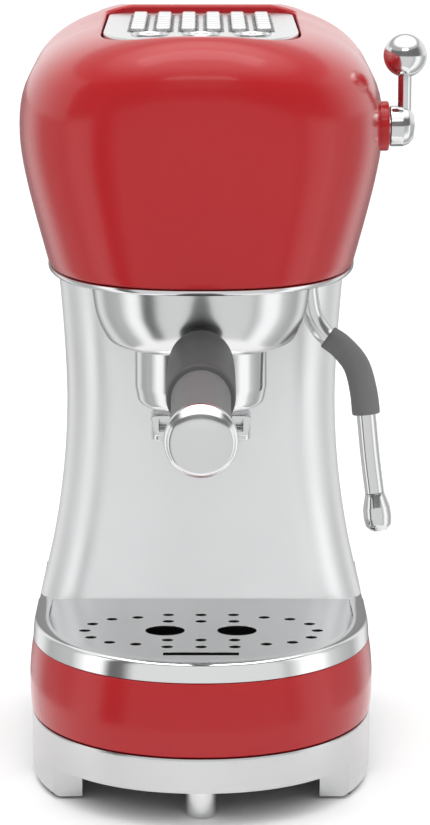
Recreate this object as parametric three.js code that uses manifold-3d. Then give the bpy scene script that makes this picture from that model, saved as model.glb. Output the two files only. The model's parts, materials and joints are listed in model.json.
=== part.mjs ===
// A pump espresso machine: a rounded painted head over a polished steel column, a D-shaped base with a
// pull-out drip tray, a portafilter, a swivelling steam wand and a steam lever with a ball end.
// Millimetres. +X is the user's right, +Y points to the back, +Z is up.
// The origin is the centre of the front foot's underside, on the worktop.
import * as THREE from "three";
import { mergeVertices } from "three/addons/utils/BufferGeometryUtils.js";
import Module from "manifold-3d";

const wasm = await Module();
wasm.setup();

// ---------------------------------------------------------------- driving dimensions

const gap = 0.3; // left between pieces that rest on each other
const slide = 0.5; // left around pieces that move
const roundSteps = 24; // sides of a middle-sized round piece
const smallSteps = 10; // sides of a small round piece

// Base, from the worktop up.
const base = { half: 73.8, front: -18, wide: 68, back: 214, corner: 34, power: 2.1 };
const padHeight = 1;
const legBottom = padHeight + gap;
const plinthBottom = 15;
const plinthTop = 30;
const plinthWall = 3;
const bandTop = 62;
const bandWall = 2.5;
const bandBulge = 0.7;
const rimTop = 70;
const rimWidth = 6.2;
const rimTaper = 1.4;
const ledgeWidth = 3;
const gridThick = 1.5;
const gridDrop = 1.2; // how far the grid lies below the top of the rim

// Column.
const columnFront = 97;
const columnBack = 147;
const columnWaist = 60.2; // half-width at its narrowest
const columnWaistZ = 157;
const columnFootFlare = 12.4; // half-width gained from the waist down to the deck
const columnTopFlare = 4.2; // half-width gained from the waist up to the head
const columnHollow = 0.0009; // how the front falls back towards the waist, per square millimetre
const columnWall = 1.2;

// Head.
const headBottom = 226;
const headTop = 330;
const headHalf = 77;
const headFront = -24;
const headWide = 81; // where the plan reaches its full width
const headBack = 155;
const headWall = 2.5;
const headPower = 2.5;
const headMiddle = headTop - 46; // height of the widest part
const headCrown = 47.4; // height of the curve from the widest part to its crest
const headCrownPower = 2.6;
const headFootHalf = 65; // half-width where the flanks end
const headTaperBlend = 20;
const headFillet = 24; // radius of the edge between front and top
const headFrontDrop = 5; // the top falls this much towards the front
const headCorner = 10;
const trimHeight = 2.4;
const trimWidth = 5;
const floorThick = 2.4;

// Cup warming plate in the top of the head.
const plate = { half: 40.5, front: 1, wide: 51, back: 139, corner: 10, power: 2.6 };
const plateFrontZ = headTop - 7.2;
const plateSlope = THREE.MathUtils.degToRad(1.2);
const plateThick = 1.6;
const railCount = 6;
const railPitch = 10.5;
const rail = { width: 5.8, front: 43, back: 123, height: 2 };

// Buttons.
const buttonRadius = 7.1;
const buttonHeight = 3.2;
const buttonProud = 0.9;
const buttonStem = 2.4;
const buttonSpacing = 2 * buttonRadius + 6.8;
const powerButtonY = plate.front + buttonRadius + 1.5;
const buttonRowY = powerButtonY + 2 * buttonRadius + 3.7;

// Group and portafilter.
const groupY = 42;
const coverTopRadius = 46.3;
const coverBottom = 193.5;
const coverWall = 2;
const lockRadius = 33; // bore of the bayonet ring
const lockBottom = 200.6;
const lugThick = 3.2;
const lugReach = 2.8;
const lugAngle = THREE.MathUtils.degToRad(34);
const holderRim = lockRadius - 0.4;
const holderRadius = lockRadius - 5.1;
const holderTop = 206.7;
const holderBottom = 166.5;
const basketRadius = holderRadius - 2.5;
const basketWall = 0.9;
const basketBottom = 181;
const spoutBottom = 152.5;
const spoutHalf = 21.2;
const nozzleX = 16.6;

// Portafilter handle.
const handleSlope = THREE.MathUtils.degToRad(8.2);
const collarStart = -5;
const gripStart = -51.6;
const handleEnd = -106;
const gripStartZ = 186.9;
const collarRadius = 13.8;
const gripRadius = 11.8;
const capRadius = 14.2;
const capLength = 9;
const neckRadius = 4.5;
const neckZ = 187.6;

// Steam wand and lever.
const wandRoot = new THREE.Vector2(46, 74);
const wandRadius = 4.2;
const sleeveRadius = wandRadius + 1.8;
const tipRadius = wandRadius + 1.9;
const tipLength = 17;
const socketRadius = wandRadius + 3.8;
const socketHeight = 6.5;
const leverY = 60;
const leverZ = headMiddle - 0.8;
const bezelRadius = 10.5;
const bezelOut = 79;
const barrelRadius = 8.6;
const barrelEnd = 90;
const spindleRadius = 4;
const spindleGrip = 3.6; // how far the spindle reaches into the barrel
const leverArm = 29.6;
const leverRodX = 85.6;
const rodRadius = 2.85;
const ballRadius = 9.15;

// Water tank.
const tank = { half: 52, front: 158, wide: 174, back: 211.5, corner: 16, power: 2 };
const tankBottom = 72;
const tankTop = 298;
const tankWall = 2;
const tankValveRadius = 7;
const lidHeight = 11;
const lidOverhang = 1.6;

// ---------------------------------------------------------------- solids

// A closed geometry as a solid that can be cut and joined.
function solid(geometry) {
  const loose = geometry.index ? geometry.toNonIndexed() : geometry.clone();
  loose.deleteAttribute("normal");
  loose.deleteAttribute("uv");
  const merged = mergeVertices(loose, 1e-4);
  return new wasm.Manifold(
    new wasm.Mesh({
      numProp: 3,
      vertProperties: merged.attributes.position.array,
      triVerts: new Uint32Array(merged.index.array),
    }),
  );
}

function geometryOf(made) {
  const mesh = made.getMesh();
  const positions = new Float32Array(mesh.numVert * 3);
  for (let i = 0; i < mesh.numVert; i++) {
    positions.set(mesh.vertProperties.subarray(i * mesh.numProp, i * mesh.numProp + 3), i * 3);
  }
  const geometry = new THREE.BufferGeometry();
  geometry.setAttribute("position", new THREE.BufferAttribute(positions, 3));
  geometry.setIndex(new THREE.BufferAttribute(mesh.triVerts, 1));
  geometry.computeVertexNormals();
  return geometry;
}

function cut(body, ...tools) {
  return tools.reduce((left, tool) => left.subtract(tool), body);
}

function join(body, ...others) {
  return others.reduce((whole, other) => whole.add(other), body);
}

// A box from its lowest to its highest corner.
function box(x0, y0, z0, x1, y1, z1) {
  const geometry = new THREE.BoxGeometry(x1 - x0, y1 - y0, z1 - z0);
  geometry.translate((x0 + x1) / 2, (y0 + y1) / 2, (z0 + z1) / 2);
  return solid(geometry);
}

// An upright cylinder standing on z0.
function post(x, y, z0, z1, radius, steps = roundSteps) {
  const geometry = new THREE.CylinderGeometry(radius, radius, z1 - z0, steps);
  geometry.rotateX(Math.PI / 2);
  geometry.translate(x, y, (z0 + z1) / 2);
  return solid(geometry);
}

// A cylinder lying along X.
function rod(x0, x1, y, z, radius, steps = roundSteps) {
  const geometry = new THREE.CylinderGeometry(radius, radius, x1 - x0, steps);
  geometry.rotateZ(Math.PI / 2);
  geometry.translate((x0 + x1) / 2, y, z);
  return solid(geometry);
}

// A profile of [radius, height] pairs, turned about the upright line through x, y.
function turned(profile, x, y, steps = roundSteps) {
  const points = profile.map(([r, z]) => new THREE.Vector2(r, z));
  const geometry = new THREE.LatheGeometry(points, steps);
  geometry.rotateX(Math.PI / 2);
  geometry.translate(x, y, 0);
  return solid(geometry);
}

// Rings of equal length, joined side to side and closed by a fan at each end.
function loft(rings) {
  const count = rings[0].length;
  const positions = [];
  const push = (...points) => points.forEach((p) => positions.push(p.x, p.y, p.z));
  const centre = (ring) =>
    ring.reduce((sum, p) => sum.add(p), new THREE.Vector3()).divideScalar(ring.length);
  for (let r = 0; r + 1 < rings.length; r++) {
    for (let i = 0; i < count; i++) {
      const j = (i + 1) % count;
      push(rings[r][i], rings[r][j], rings[r + 1][j]);
      push(rings[r][i], rings[r + 1][j], rings[r + 1][i]);
    }
  }
  const bottom = centre(rings[0]);
  const top = centre(rings[rings.length - 1]);
  for (let i = 0; i < count; i++) {
    const j = (i + 1) % count;
    push(bottom, rings[0][j], rings[0][i]);
    push(top, rings[rings.length - 1][i], rings[rings.length - 1][j]);
  }
  const geometry = new THREE.BufferGeometry();
  geometry.setAttribute("position", new THREE.Float32BufferAttribute(positions, 3));
  return solid(geometry);
}

// A tube along a smooth curve, of a round section.
function tube(points, radius, steps, sides = 8) {
  const section = new THREE.Shape();
  section.absarc(0, 0, radius, 0, Math.PI * 2);
  const curve = new THREE.CatmullRomCurve3(points.map((p) => new THREE.Vector3(...p)));
  const options = { steps, extrudePath: curve, curveSegments: sides / 2 };
  return solid(new THREE.ExtrudeGeometry(section, options));
}

// ---------------------------------------------------------------- outlines

// A plan outline: a blunt oval front, straight sides and a back with round corners.
// It runs anticlockwise from the left end of the oval, and inset moves it inwards.
function plan({ half, front, wide, back, corner, power }, inset = 0, frontSteps = 22, cornerSteps = 4) {
  const points = [];
  const w = half - inset;
  const depth = wide - (front + inset);
  for (let i = 0; i <= frontSteps; i++) {
    const t = -Math.PI / 2 + (Math.PI * i) / frontSteps;
    const x = Math.sign(t) * w * Math.abs(Math.sin(t)) ** (2 / power);
    const y = wide - depth * Math.max(Math.cos(t), 0) ** (2 / power);
    points.push(new THREE.Vector2(x, y));
  }
  const radius = Math.min(Math.max(corner - inset, 0.8), w - 0.1);
  for (const side of [0, 1]) {
    for (let i = 0; i <= cornerSteps; i++) {
      const t = (Math.PI / 2) * (side + i / cornerSteps);
      const x = (side ? -1 : 1) * (w - radius) + radius * Math.cos(t);
      points.push(new THREE.Vector2(x, back - inset - radius + radius * Math.sin(t)));
    }
  }
  return points;
}

// The same outline stacked at each [z, inset].
function stack(outline, levels, frontSteps, cornerSteps) {
  return loft(
    levels.map(([z, inset]) =>
      plan(outline, inset, frontSteps, cornerSteps).map((p) => new THREE.Vector3(p.x, p.y, z)),
    ),
  );
}

function pocket(outline, z0, z1, inset, frontSteps, cornerSteps) {
  return stack(outline, [[z0, inset], [z1, inset]], frontSteps, cornerSteps);
}

const far = 500; // past every edge of the machine
const behind = (y, z0 = -far, z1 = far) => box(-far, y, z0, far, far, z1);
const inFront = (y, z0 = -far, z1 = far) => box(-far, -far, z0, far, y, z1);

// ---------------------------------------------------------------- assembly

const machine = new THREE.Group();

const finishes = {
  red_enamel: { color: 0xb0262b, roughness: 0.18, metalness: 0 },
  chrome: { color: 0xd8dadc, roughness: 0.08, metalness: 1 },
  steel: { color: 0xc4c6c8, roughness: 0.22, metalness: 1 },
  cast_silver: { color: 0xbfc1c3, roughness: 0.3, metalness: 1 },
  grip_rubber: { color: 0x5a5b5d, roughness: 0.65, metalness: 0 },
  black_plastic: { color: 0x2a2b2d, roughness: 0.5, metalness: 0 },
  foot_rubber: { color: 0x1d1d1e, roughness: 0.8, metalness: 0 },
  tank_plastic: { color: 0x8f979c, roughness: 0.1, metalness: 0, transparent: true, opacity: 0.4 },
  hose_silicone: { color: 0xe4e2da, roughness: 0.5, metalness: 0 },
  brass: { color: 0xb89a58, roughness: 0.35, metalness: 1 },
  circuit_green: { color: 0x1f5a3a, roughness: 0.6, metalness: 0 },
};
const materials = Object.fromEntries(
  Object.entries(finishes).map(([name, look]) => [name, new THREE.MeshStandardMaterial(look)]),
);

function add(name, made, finish, parent = machine) {
  const mesh = new THREE.Mesh(geometryOf(made), materials[finish]);
  mesh.name = name;
  parent.add(mesh);
}

// ---------------------------------------------------------------- base

const frontLeg = { from: 21.5, to: 58 }; // along Y
const rearLeg = { from: 172, to: 220 };
const rearLegGap = base.half - 27.8; // half the space between the rear legs
const legDepth = 11;
const legTop = plinthBottom + 1;
const coverBottomZ = legTop + gap; // the cover lies on the tops of the legs
const coverPlateThick = 1.8;

function plinth() {
  const legSkin = [[legBottom, 1.8], [legBottom + 1.6, 0.6], [legBottom + 4, 0.2], [legTop, 0.2]];
  const ring = cut(stack(base, legSkin), pocket(base, -1, plinthTop, legDepth, 10, 2));
  const spans = join(
    box(-far, frontLeg.from, 0, far, frontLeg.to, plinthTop),
    box(-far, rearLeg.from, 0, -rearLegGap, rearLeg.to, plinthTop),
    box(rearLegGap, rearLeg.from, 0, far, rearLeg.to, plinthTop),
  );
  const inner = pocket(base, plinthBottom - 1, plinthTop - 2.5, plinthWall, 14, 2);
  return join(cut(stack(base, [[plinthBottom, 0.2], [plinthTop, 0]]), inner), ring.intersect(spans));
}

const frontPadX = base.half - 12.8;
const rearPadX = base.half - 10.3;
const padSpots = {
  front_left: new THREE.Vector2(-frontPadX, 31),
  front_right: new THREE.Vector2(frontPadX, 31),
  rear_left: new THREE.Vector2(-rearPadX, 196),
  rear_right: new THREE.Vector2(rearPadX, 196),
};

function frontFoot() {
  const radius = 6.7;
  const top = coverBottomZ - gap;
  return turned([[0, 0], [4.9, 0], [6.1, 0.7], [radius, 2.2], [radius, top], [0, top]], 0, 0, 20);
}

const hoseHole = 4.2;
const hoseRadius = 2.6;
const seatY = 182;
const pumpSpot = new THREE.Vector2(-27, 126);

function baseCover() {
  return pocket(base, coverBottomZ, coverBottomZ + coverPlateThick, plinthWall + gap, 14, 2);
}

const fixedBase = columnFront + slide; // where the fixed part of the base starts
const trayBack = columnFront - slide; // where the drip tray ends
const bandLevels = [
  [plinthTop + gap, 0.1],
  [(plinthTop + bandTop) / 2, -bandBulge],
  [bandTop - gap, 0.9],
];

function bandShell() {
  return cut(stack(base, bandLevels), pocket(base, plinthTop - 1, bandTop + 1, bandWall, 18, 3));
}

const rearBand = () => cut(bandShell(), inFront(fixedBase));
const trayBand = () => cut(bandShell(), behind(trayBack));

// The deck that the column and the tank stand on.
const deckTop = 66;
function baseDeck() {
  const slab = stack(base, [[bandTop, 0.8], [deckTop, 1.3]], 18, 3);
  const lift = box(-far, fixedBase, bandTop - 12, far, fixedBase + 2, bandTop);
  const bulkhead = lift.intersect(pocket(base, 0, far, bandWall + gap, 18, 3));
  const holes = [
    post(0, seatY, bandTop - 1, deckTop + 1, hoseHole, smallSteps),
    post(pumpSpot.x, pumpSpot.y, bandTop - 1, deckTop + 1, hoseHole, smallSteps),
  ];
  return cut(join(cut(slab, inFront(fixedBase)), bulkhead), ...holes);
}

// ---------------------------------------------------------------- drip tray

const binInset = bandWall + gap;
const binWall = 2;
const binBottom = plinthTop + 0.9;

function trayBin() {
  const outer = cut(pocket(base, binBottom, bandTop - 2 * gap, binInset, 18, 2), behind(trayBack));
  const hollow = pocket(base, binBottom + binWall, bandTop + 1, binInset + binWall, 18, 2);
  return cut(outer, cut(hollow, behind(trayBack - binWall)));
}

const gridInset = rimTaper + rimWidth;

function trayRim() {
  const outer = stack(base, [[bandTop, 0.8], [rimTop - 1.2, rimTaper], [rimTop, rimTaper + 1.1]]);
  const gridZ = rimTop - gridDrop - gridThick - gap;
  const over = pocket(base, gridZ, rimTop + 1, gridInset, 20, 2);
  const through = pocket(base, bandTop - 1, rimTop + 1, gridInset + ledgeWidth, 16, 2);
  return cut(outer, over, through, behind(trayBack));
}

// Places of the small holes: rows of pairs beside the middle, and a ring under each cup.
function gridHolePlaces() {
  const places = [];
  const pairColumn = 14.2;
  for (const x of [-pairColumn, 0, pairColumn]) {
    for (const reach of [15.6, 26.7]) {
      places.push([x, groupY - reach], [x, groupY + reach]);
    }
  }
  const ringCentre = 27.5;
  const ringRadius = 22.3;
  for (const side of [-1, 1]) {
    for (let i = -3; i <= 3; i++) {
      const t = (i * Math.PI) / 6;
      const x = side * (ringCentre + ringRadius * Math.cos(t));
      places.push([x, groupY + ringRadius * Math.sin(t)]);
    }
  }
  return places;
}

const drainRadius = 8.4;
const drainX = 15.4;
const gridHoleRadius = 2.4;
const gridSlot = { half: 15.8, y: 4.2, depth: 5 };

function dripGrid() {
  const top = rimTop - gridDrop;
  const bottom = top - gridThick;
  const slab = cut(pocket(base, bottom, top, gridInset + gap, 20, 2), behind(trayBack));
  const drains = [-1, 1].map((s) => post(s * drainX, groupY, bottom - 1, top + 1, drainRadius, 16));
  const holes = gridHolePlaces().map(([x, y]) => post(x, y, bottom - 1, top + 1, gridHoleRadius, 8));
  const { half, y, depth } = gridSlot;
  const slot = box(-half, y - depth / 2, bottom - 1, half, y + depth / 2, top + 1);
  return cut(slab, ...drains, ...holes, slot);
}

// ---------------------------------------------------------------- column

function columnHalf(z) {
  if (z > columnWaistZ) {
    return columnWaist + columnTopFlare * ((z - columnWaistZ) / (columnTop - columnWaistZ)) ** 1.5;
  }
  return columnWaist + columnFootFlare * ((columnWaistZ - z) / (columnWaistZ - deckTop)) ** 2;
}

// The front of the column curves back towards its waist.
function columnFace(z) {
  return columnFront + columnHollow * ((deckTop - columnWaistZ) ** 2 - (z - columnWaistZ) ** 2);
}
const columnBottom = deckTop + gap;
const floorBottom = headBottom - gap - floorThick;
const columnTop = floorBottom - gap;

// A ring of the column at height z, inset by its wall and open to the back by reach.
function columnRing(z, inset, back) {
  const points = [];
  const half = columnHalf(z) - inset;
  const front = columnFace(z) + inset;
  const corner = 24 - inset;
  const steps = 5;
  for (let i = 0; i <= steps; i++) {
    const t = Math.PI + (Math.PI / 2) * (i / steps);
    points.push([-half + corner + corner * Math.cos(t), front + corner + corner * Math.sin(t)]);
  }
  for (let i = 0; i <= steps; i++) {
    const t = 1.5 * Math.PI + (Math.PI / 2) * (i / steps);
    points.push([half - corner + corner * Math.cos(t), front + corner + corner * Math.sin(t)]);
  }
  points.push([half, back], [-half, back]);
  return points.map(([x, y]) => new THREE.Vector3(x, y, z));
}

function columnLevels(z0, z1, count) {
  return Array.from({ length: count + 1 }, (_, i) => z0 + ((z1 - z0) * i) / count);
}

function columnShell() {
  const outer = loft(columnLevels(columnBottom, columnTop, 10).map((z) => columnRing(z, 0, columnBack)));
  const levels = columnLevels(columnBottom - 1, columnTop + 1, 8);
  const inner = loft(levels.map((z) => columnRing(z, columnWall, columnBack + 5)));
  return cut(outer, inner);
}

// A panel that closes the column at the back, between its two sides.
function backPanel() {
  const clear = columnWall + gap;
  const levels = columnLevels(columnBottom + gap, columnTop - gap, 8);
  const right = levels.map((z) => new THREE.Vector2(columnHalf(z) - clear, z));
  const left = right.map((p) => new THREE.Vector2(-p.x, p.y)).reverse();
  const geometry = new THREE.ExtrudeGeometry(new THREE.Shape([...right, ...left]), {
    depth: 2,
    bevelEnabled: false,
  });
  geometry.rotateX(Math.PI / 2);
  geometry.translate(0, columnBack, 0);
  return solid(geometry);
}

// ---------------------------------------------------------------- head

// How far the flanks have run in, up to a scale, at a depth below the widest part.
const headRunIn = (depth) => Math.hypot(depth, headTaperBlend) - headTaperBlend;
const headTaper = (headHalf - headFootHalf) / headRunIn(headMiddle - headBottom);

// Half-width of the head at height z, before the top is tipped forward.
function headWidth(z, inset) {
  const depth = headMiddle - z;
  if (depth > 0) {
    return headHalf - inset - headTaper * headRunIn(depth);
  }
  const share = Math.min(-depth / (headCrown - inset), 0.999);
  return (headHalf - inset) * (1 - share ** headCrownPower) ** (1 / headCrownPower);
}

// The top is lower at the front by headFrontDrop.
function tipped(y, z) {
  const back = THREE.MathUtils.clamp(y / headBack, 0, 1);
  const full = headTop - headBottom;
  return headBottom + (z - headBottom) * (1 - (headFrontDrop * (1 - back)) / full);
}

function headRing(z, inset, frontSteps, cornerSteps) {
  const filletTop = headTop - inset;
  const above = THREE.MathUtils.clamp((z - (filletTop - headFillet)) / headFillet, 0, 1);
  const pullBack = headFillet * (1 - Math.sqrt(1 - above ** 2));
  const outline = {
    half: headWidth(z, inset),
    front: headFront + inset + pullBack,
    wide: headWide,
    back: headBack - inset,
    corner: headCorner,
    power: headPower,
  };
  const ring = plan(outline, 0, frontSteps, cornerSteps);
  return ring.map((p) => new THREE.Vector3(p.x, p.y, tipped(p.y, z)));
}

function headForm(inset, bottom, levels, frontSteps, cornerSteps) {
  const top = headTop - inset;
  return loft([bottom, ...levels, top].map((z) => headRing(z, inset, frontSteps, cornerSteps)));
}

// Heights of the rings that shape the head, measured down from its top.
const skinLevels = [92, 80, 69, 60, 52, 43, 34, 26, 19, 13, 8, 4, 1.4].map((drop) => headTop - drop);
const cavityLevels = [82, 62, 45, 30, 19, 11, 6].map((drop) => headTop - drop);

function plateTopZ(y) {
  return plateFrontZ + (y - plate.front) * Math.tan(plateSlope);
}

function headShell() {
  const cavity = headForm(headWall, headBottom - 1, cavityLevels, 16, 3);
  const opening = pocket(plate, headTop - 30, headTop + 5, -0.8, 16, 3);
  const leverHole = rod(headHalf - 20, headHalf + 20, leverY, leverZ, bezelRadius + gap, 20);
  return cut(headForm(0, headBottom, skinLevels, 24, 4), cavity, opening, leverHole);
}

const headFootprint = {
  half: headWidth(headBottom, 0),
  front: headFront,
  wide: headWide,
  back: headBack,
  corner: headCorner,
  power: headPower,
};

function headTrim() {
  const top = headBottom - gap;
  const bottom = top - trimHeight;
  const outer = stack(headFootprint, [[bottom, 0.5], [bottom + 0.7, -0.3], [top, -0.3]], 24, 4);
  return cut(outer, pocket(headFootprint, bottom - 1, top + 1, trimWidth, 16, 3));
}

function headFloor() {
  const top = headBottom - gap;
  const slab = pocket(headFootprint, top - floorThick, top, trimWidth + gap, 16, 3);
  return cut(
    slab,
    post(0, groupY, top - 5, top + 1, lockRadius + 1, roundSteps),
    post(wandRoot.x, wandRoot.y, top - 5, top + 1, 3.6, smallSteps),
    post(pumpSpot.x, pumpSpot.y, top - 5, top + 1, hoseHole, smallSteps),
  );
}

function warmingPlate() {
  const skirt = 5;
  const slab = pocket(plate, -plateThick, 0, 0, 18, 3);
  const lip = cut(
    pocket(plate, -skirt, -plateThick + 0.4, 0, 18, 3),
    pocket(plate, -skirt - 1, 1, 1.5, 14, 2),
  );
  const rails = Array.from({ length: railCount }, (_, i) => {
    const x = (i - (railCount - 1) / 2) * railPitch;
    const half = rail.width / 2;
    return box(x - half, rail.front, -0.4, x + half, rail.back, rail.height);
  });
  const holes = buttonPlaces.map(([, x, y]) => post(x, y, -skirt - 1, 1, buttonRadius + gap, 20));
  return cut(join(slab, lip, ...rails), ...holes);
}

const buttonPlaces = [
  ["button_one_cup", -buttonSpacing, buttonRowY],
  ["button_two_cups", 0, buttonRowY],
  ["button_steam", buttonSpacing, buttonRowY],
  ["button_power", 0, powerButtonY],
];

function button(x, y) {
  const top = buttonProud;
  const under = top - buttonHeight;
  const profile = [
    [0, under - 5],
    [buttonStem, under - 5],
    [buttonStem, under],
    [buttonRadius, under],
    [buttonRadius, top - 0.5],
    [buttonRadius - 0.6, top],
    [0, top - 0.3],
  ];
  return turned(profile, x, y, 20);
}

const buttonBoardDrop = 12.5;
function buttonBoard() {
  const half = buttonSpacing + 9;
  return box(-half, powerButtonY - 6, -buttonBoardDrop - 1.6, half, buttonRowY + 9, -buttonBoardDrop);
}

// ---------------------------------------------------------------- group

// The bowl under the head, with the portafilter's opening in its bottom.
function groupCover() {
  const top = floorBottom - gap;
  const r = coverTopRadius;
  const profile = [
    [lockRadius + 1, coverBottom + coverWall],
    [lockRadius + 1, coverBottom],
    [r - 10.8, coverBottom + 0.7],
    [r - 8.8, coverBottom + 2.3],
    [r - 6.6, coverBottom + 5.2],
    [r - 4.2, coverBottom + 9.7],
    [r - 2.4, coverBottom + 15],
    [r - 1, coverBottom + 22.8],
    [r, top],
    [r - coverWall, top],
    [r - 4.5, coverBottom + 15],
    [r - 8.4, coverBottom + 6],
    [r - 10.6, coverBottom + 2.8],
    [lockRadius + 1, coverBottom + coverWall],
  ];
  return turned(profile, 0, groupY, 32);
}

const lugZ = lockBottom + 3;
const lockTop = lugZ + lugThick + 5.2;

// The ring that the lugs of the portafilter turn into, with two gaps where they drop out.
function bayonetRing() {
  const inner = lockRadius - 3;
  const outer = lockRadius + lugReach + 1.6;
  const groove = lockRadius + lugReach + slide;
  const profile = [
    [lockRadius, lockBottom],
    [outer, lockBottom],
    [outer, lockTop],
    [lockRadius, lockTop],
    [lockRadius, lugZ + lugThick + 0.4],
    [groove, lugZ + lugThick + 0.4],
    [groove, lugZ - 0.6],
    [lockRadius, lugZ - 0.6],
    [lockRadius, lockBottom],
  ];
  const ring = turned(profile, 0, groupY, 28);
  const halfGap = lugAngle / 2 + 0.1;
  const gaps = [0, Math.PI].map((turn) => {
    const shape = new THREE.Shape();
    const middle = turn - THREE.MathUtils.degToRad(45);
    shape.moveTo(inner * Math.cos(middle - halfGap), inner * Math.sin(middle - halfGap));
    shape.absarc(0, 0, groove, middle - halfGap, middle + halfGap);
    shape.lineTo(inner * Math.cos(middle + halfGap), inner * Math.sin(middle + halfGap));
    const geometry = new THREE.ExtrudeGeometry(shape, {
      depth: lugZ - lockBottom + 1,
      bevelEnabled: false,
      curveSegments: 4,
    });
    geometry.translate(0, groupY, lockBottom - 1);
    return solid(geometry);
  });
  return cut(ring, ...gaps);
}

const basketLip = 1;
const basketTop = holderTop + gap + basketLip;
const gasketBottom = basketTop + gap;
const gasketHeight = 3.6;

function groupGasket() {
  const outer = basketRadius + 4.6;
  return turned(
    [
      [basketRadius, gasketBottom],
      [outer, gasketBottom],
      [outer, gasketBottom + gasketHeight],
      [basketRadius, gasketBottom + gasketHeight],
      [basketRadius, gasketBottom],
    ],
    0,
    groupY,
  );
}

const screenRadius = basketRadius - 1.4;
function showerScreen() {
  const bottom = gasketBottom + 0.4;
  const profile = [
    [0, bottom],
    [screenRadius - 1, bottom],
    [screenRadius, bottom + 0.8],
    [screenRadius, bottom + 2],
    [0, bottom + 2],
  ];
  return turned(profile, 0, groupY);
}

const boilerTop = 276;
const boilerRadius = 37;
function boiler() {
  const neckBottom = gasketBottom + gasketHeight + gap;
  const shoulder = headBottom + 2;
  const profile = [
    [0, neckBottom],
    [lockRadius - 1, neckBottom],
    [lockRadius - 1, shoulder],
    [boilerRadius, shoulder],
    [boilerRadius, boilerTop - 6],
    [boilerRadius - 7, boilerTop - 6],
    [boilerRadius - 7, boilerTop],
    [0, boilerTop],
  ];
  return turned(profile, 0, groupY);
}

// ---------------------------------------------------------------- portafilter

// A lug on the rim, turned about the group's axis.
function lug(middle) {
  const shape = new THREE.Shape();
  const from = middle - lugAngle / 2;
  const to = middle + lugAngle / 2;
  const inner = holderRim - 3;
  shape.moveTo(inner * Math.cos(from), inner * Math.sin(from));
  shape.absarc(0, 0, lockRadius + lugReach - 0.1, from, to);
  shape.lineTo(inner * Math.cos(to), inner * Math.sin(to));
  const geometry = new THREE.ExtrudeGeometry(shape, {
    depth: lugThick,
    bevelEnabled: false,
    curveSegments: 5,
  });
  geometry.translate(0, groupY, lugZ);
  return solid(geometry);
}

const rimHeight = 9.5;
const drainHole = 3;
function filterHolder() {
  const inner = basketRadius + 0.6;
  const under = holderTop - rimHeight;
  const floor = holderBottom + 4.5;
  const profile = [
    [drainHole, holderBottom],
    [holderRadius - 8.9, holderBottom],
    [holderRadius - 3.5, holderBottom + 1.6],
    [holderRadius - 0.7, holderBottom + 4.8],
    [holderRadius, holderBottom + 9],
    [holderRadius, under - 1.5],
    [holderRadius + 1.5, under],
    [holderRim, under],
    [holderRim, holderTop],
    [inner, holderTop],
    [inner, floor + 5],
    [inner - 5, floor],
    [drainHole, floor],
    [drainHole, holderBottom],
  ];
  return join(turned(profile, 0, groupY, 32), lug(0), lug(Math.PI));
}

function filterBasket() {
  const inside = basketRadius - basketWall;
  const profile = [
    [0, basketBottom],
    [basketRadius - 2, basketBottom],
    [basketRadius - 1, basketBottom + 3],
    [basketRadius, holderTop - 4],
    [basketRadius, holderTop + gap],
    [basketRadius + 4, holderTop + gap],
    [basketRadius + 4, basketTop],
    [inside, basketTop],
    [inside, holderTop - 4],
    [inside - 1, basketBottom + 3],
    [inside - 2, basketBottom + basketWall],
    [0, basketBottom + basketWall],
  ];
  return turned(profile, 0, groupY);
}

function twinSpout() {
  const top = holderBottom - gap;
  const barTop = top - 2.4;
  const barBottom = spoutBottom + 3.6;
  const depth = 7;
  const outline = new THREE.Shape();
  outline.moveTo(-spoutHalf, barTop);
  outline.lineTo(-spoutHalf + 1.2, barBottom + 0.8);
  outline.lineTo(-nozzleX - 2.4, barBottom - 1.4);
  outline.lineTo(nozzleX + 2.4, barBottom - 1.4);
  outline.lineTo(spoutHalf - 1.2, barBottom + 0.8);
  outline.lineTo(spoutHalf, barTop);
  const geometry = new THREE.ExtrudeGeometry(outline, { depth: depth * 2, bevelEnabled: false });
  geometry.rotateX(Math.PI / 2);
  geometry.translate(0, groupY + depth, 0);
  const bar = join(solid(geometry), post(0, groupY, barTop - 1, top, 9, 20));
  const nozzles = [-1, 1].map((s) => post(s * nozzleX, groupY, spoutBottom, barBottom, 4.4, 14));
  const bores = [-1, 1].map((s) =>
    post(s * nozzleX, groupY, spoutBottom - 1, barBottom + 3, 2.9, smallSteps),
  );
  const channel = box(-nozzleX - 2, groupY - 3.4, barBottom + 1, nozzleX + 2, groupY + 3.4, barTop - 2);
  const inlet = post(0, groupY, barTop - 4, top + 1, drainHole, smallSteps);
  return cut(join(bar, ...nozzles), channel, ...bores, inlet);
}

// Height of the handle's axis at y.
const handleZ = (y) => gripStartZ + (y - gripStart) * Math.tan(handleSlope);

// An upright oval ring across the handle.
function handleRing(y, halfWidth, halfHeight, lift = 0, steps = 24) {
  return Array.from({ length: steps }, (_, i) => {
    const t = (i / steps) * Math.PI * 2;
    return new THREE.Vector3(halfWidth * Math.cos(t), y, handleZ(y) + lift + halfHeight * Math.sin(t));
  });
}

function handleNeck() {
  const from = groupY - holderRadius - gap;
  const geometry = new THREE.CylinderGeometry(neckRadius, neckRadius, from - (collarStart + gap), 16);
  geometry.translate(0, (from + collarStart + gap) / 2, neckZ);
  return solid(geometry);
}

function handleCollar() {
  const lift = 1; // the far end rises a little in front of the bowl
  return loft([
    handleRing(collarStart, 8.6, 10.6, -0.4),
    handleRing(collarStart - 1.6, 10.4, 12.2, lift * 0.5),
    handleRing(collarStart - 6, 11.9, 13.2, lift),
    handleRing(collarStart - 15, 13.3, 13.8, lift * 0.4),
    handleRing(gripStart + 4, collarRadius, collarRadius),
    handleRing(gripStart + 0.8, collarRadius, collarRadius),
    handleRing(gripStart, collarRadius - 0.8, collarRadius - 0.8),
  ]);
}

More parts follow.
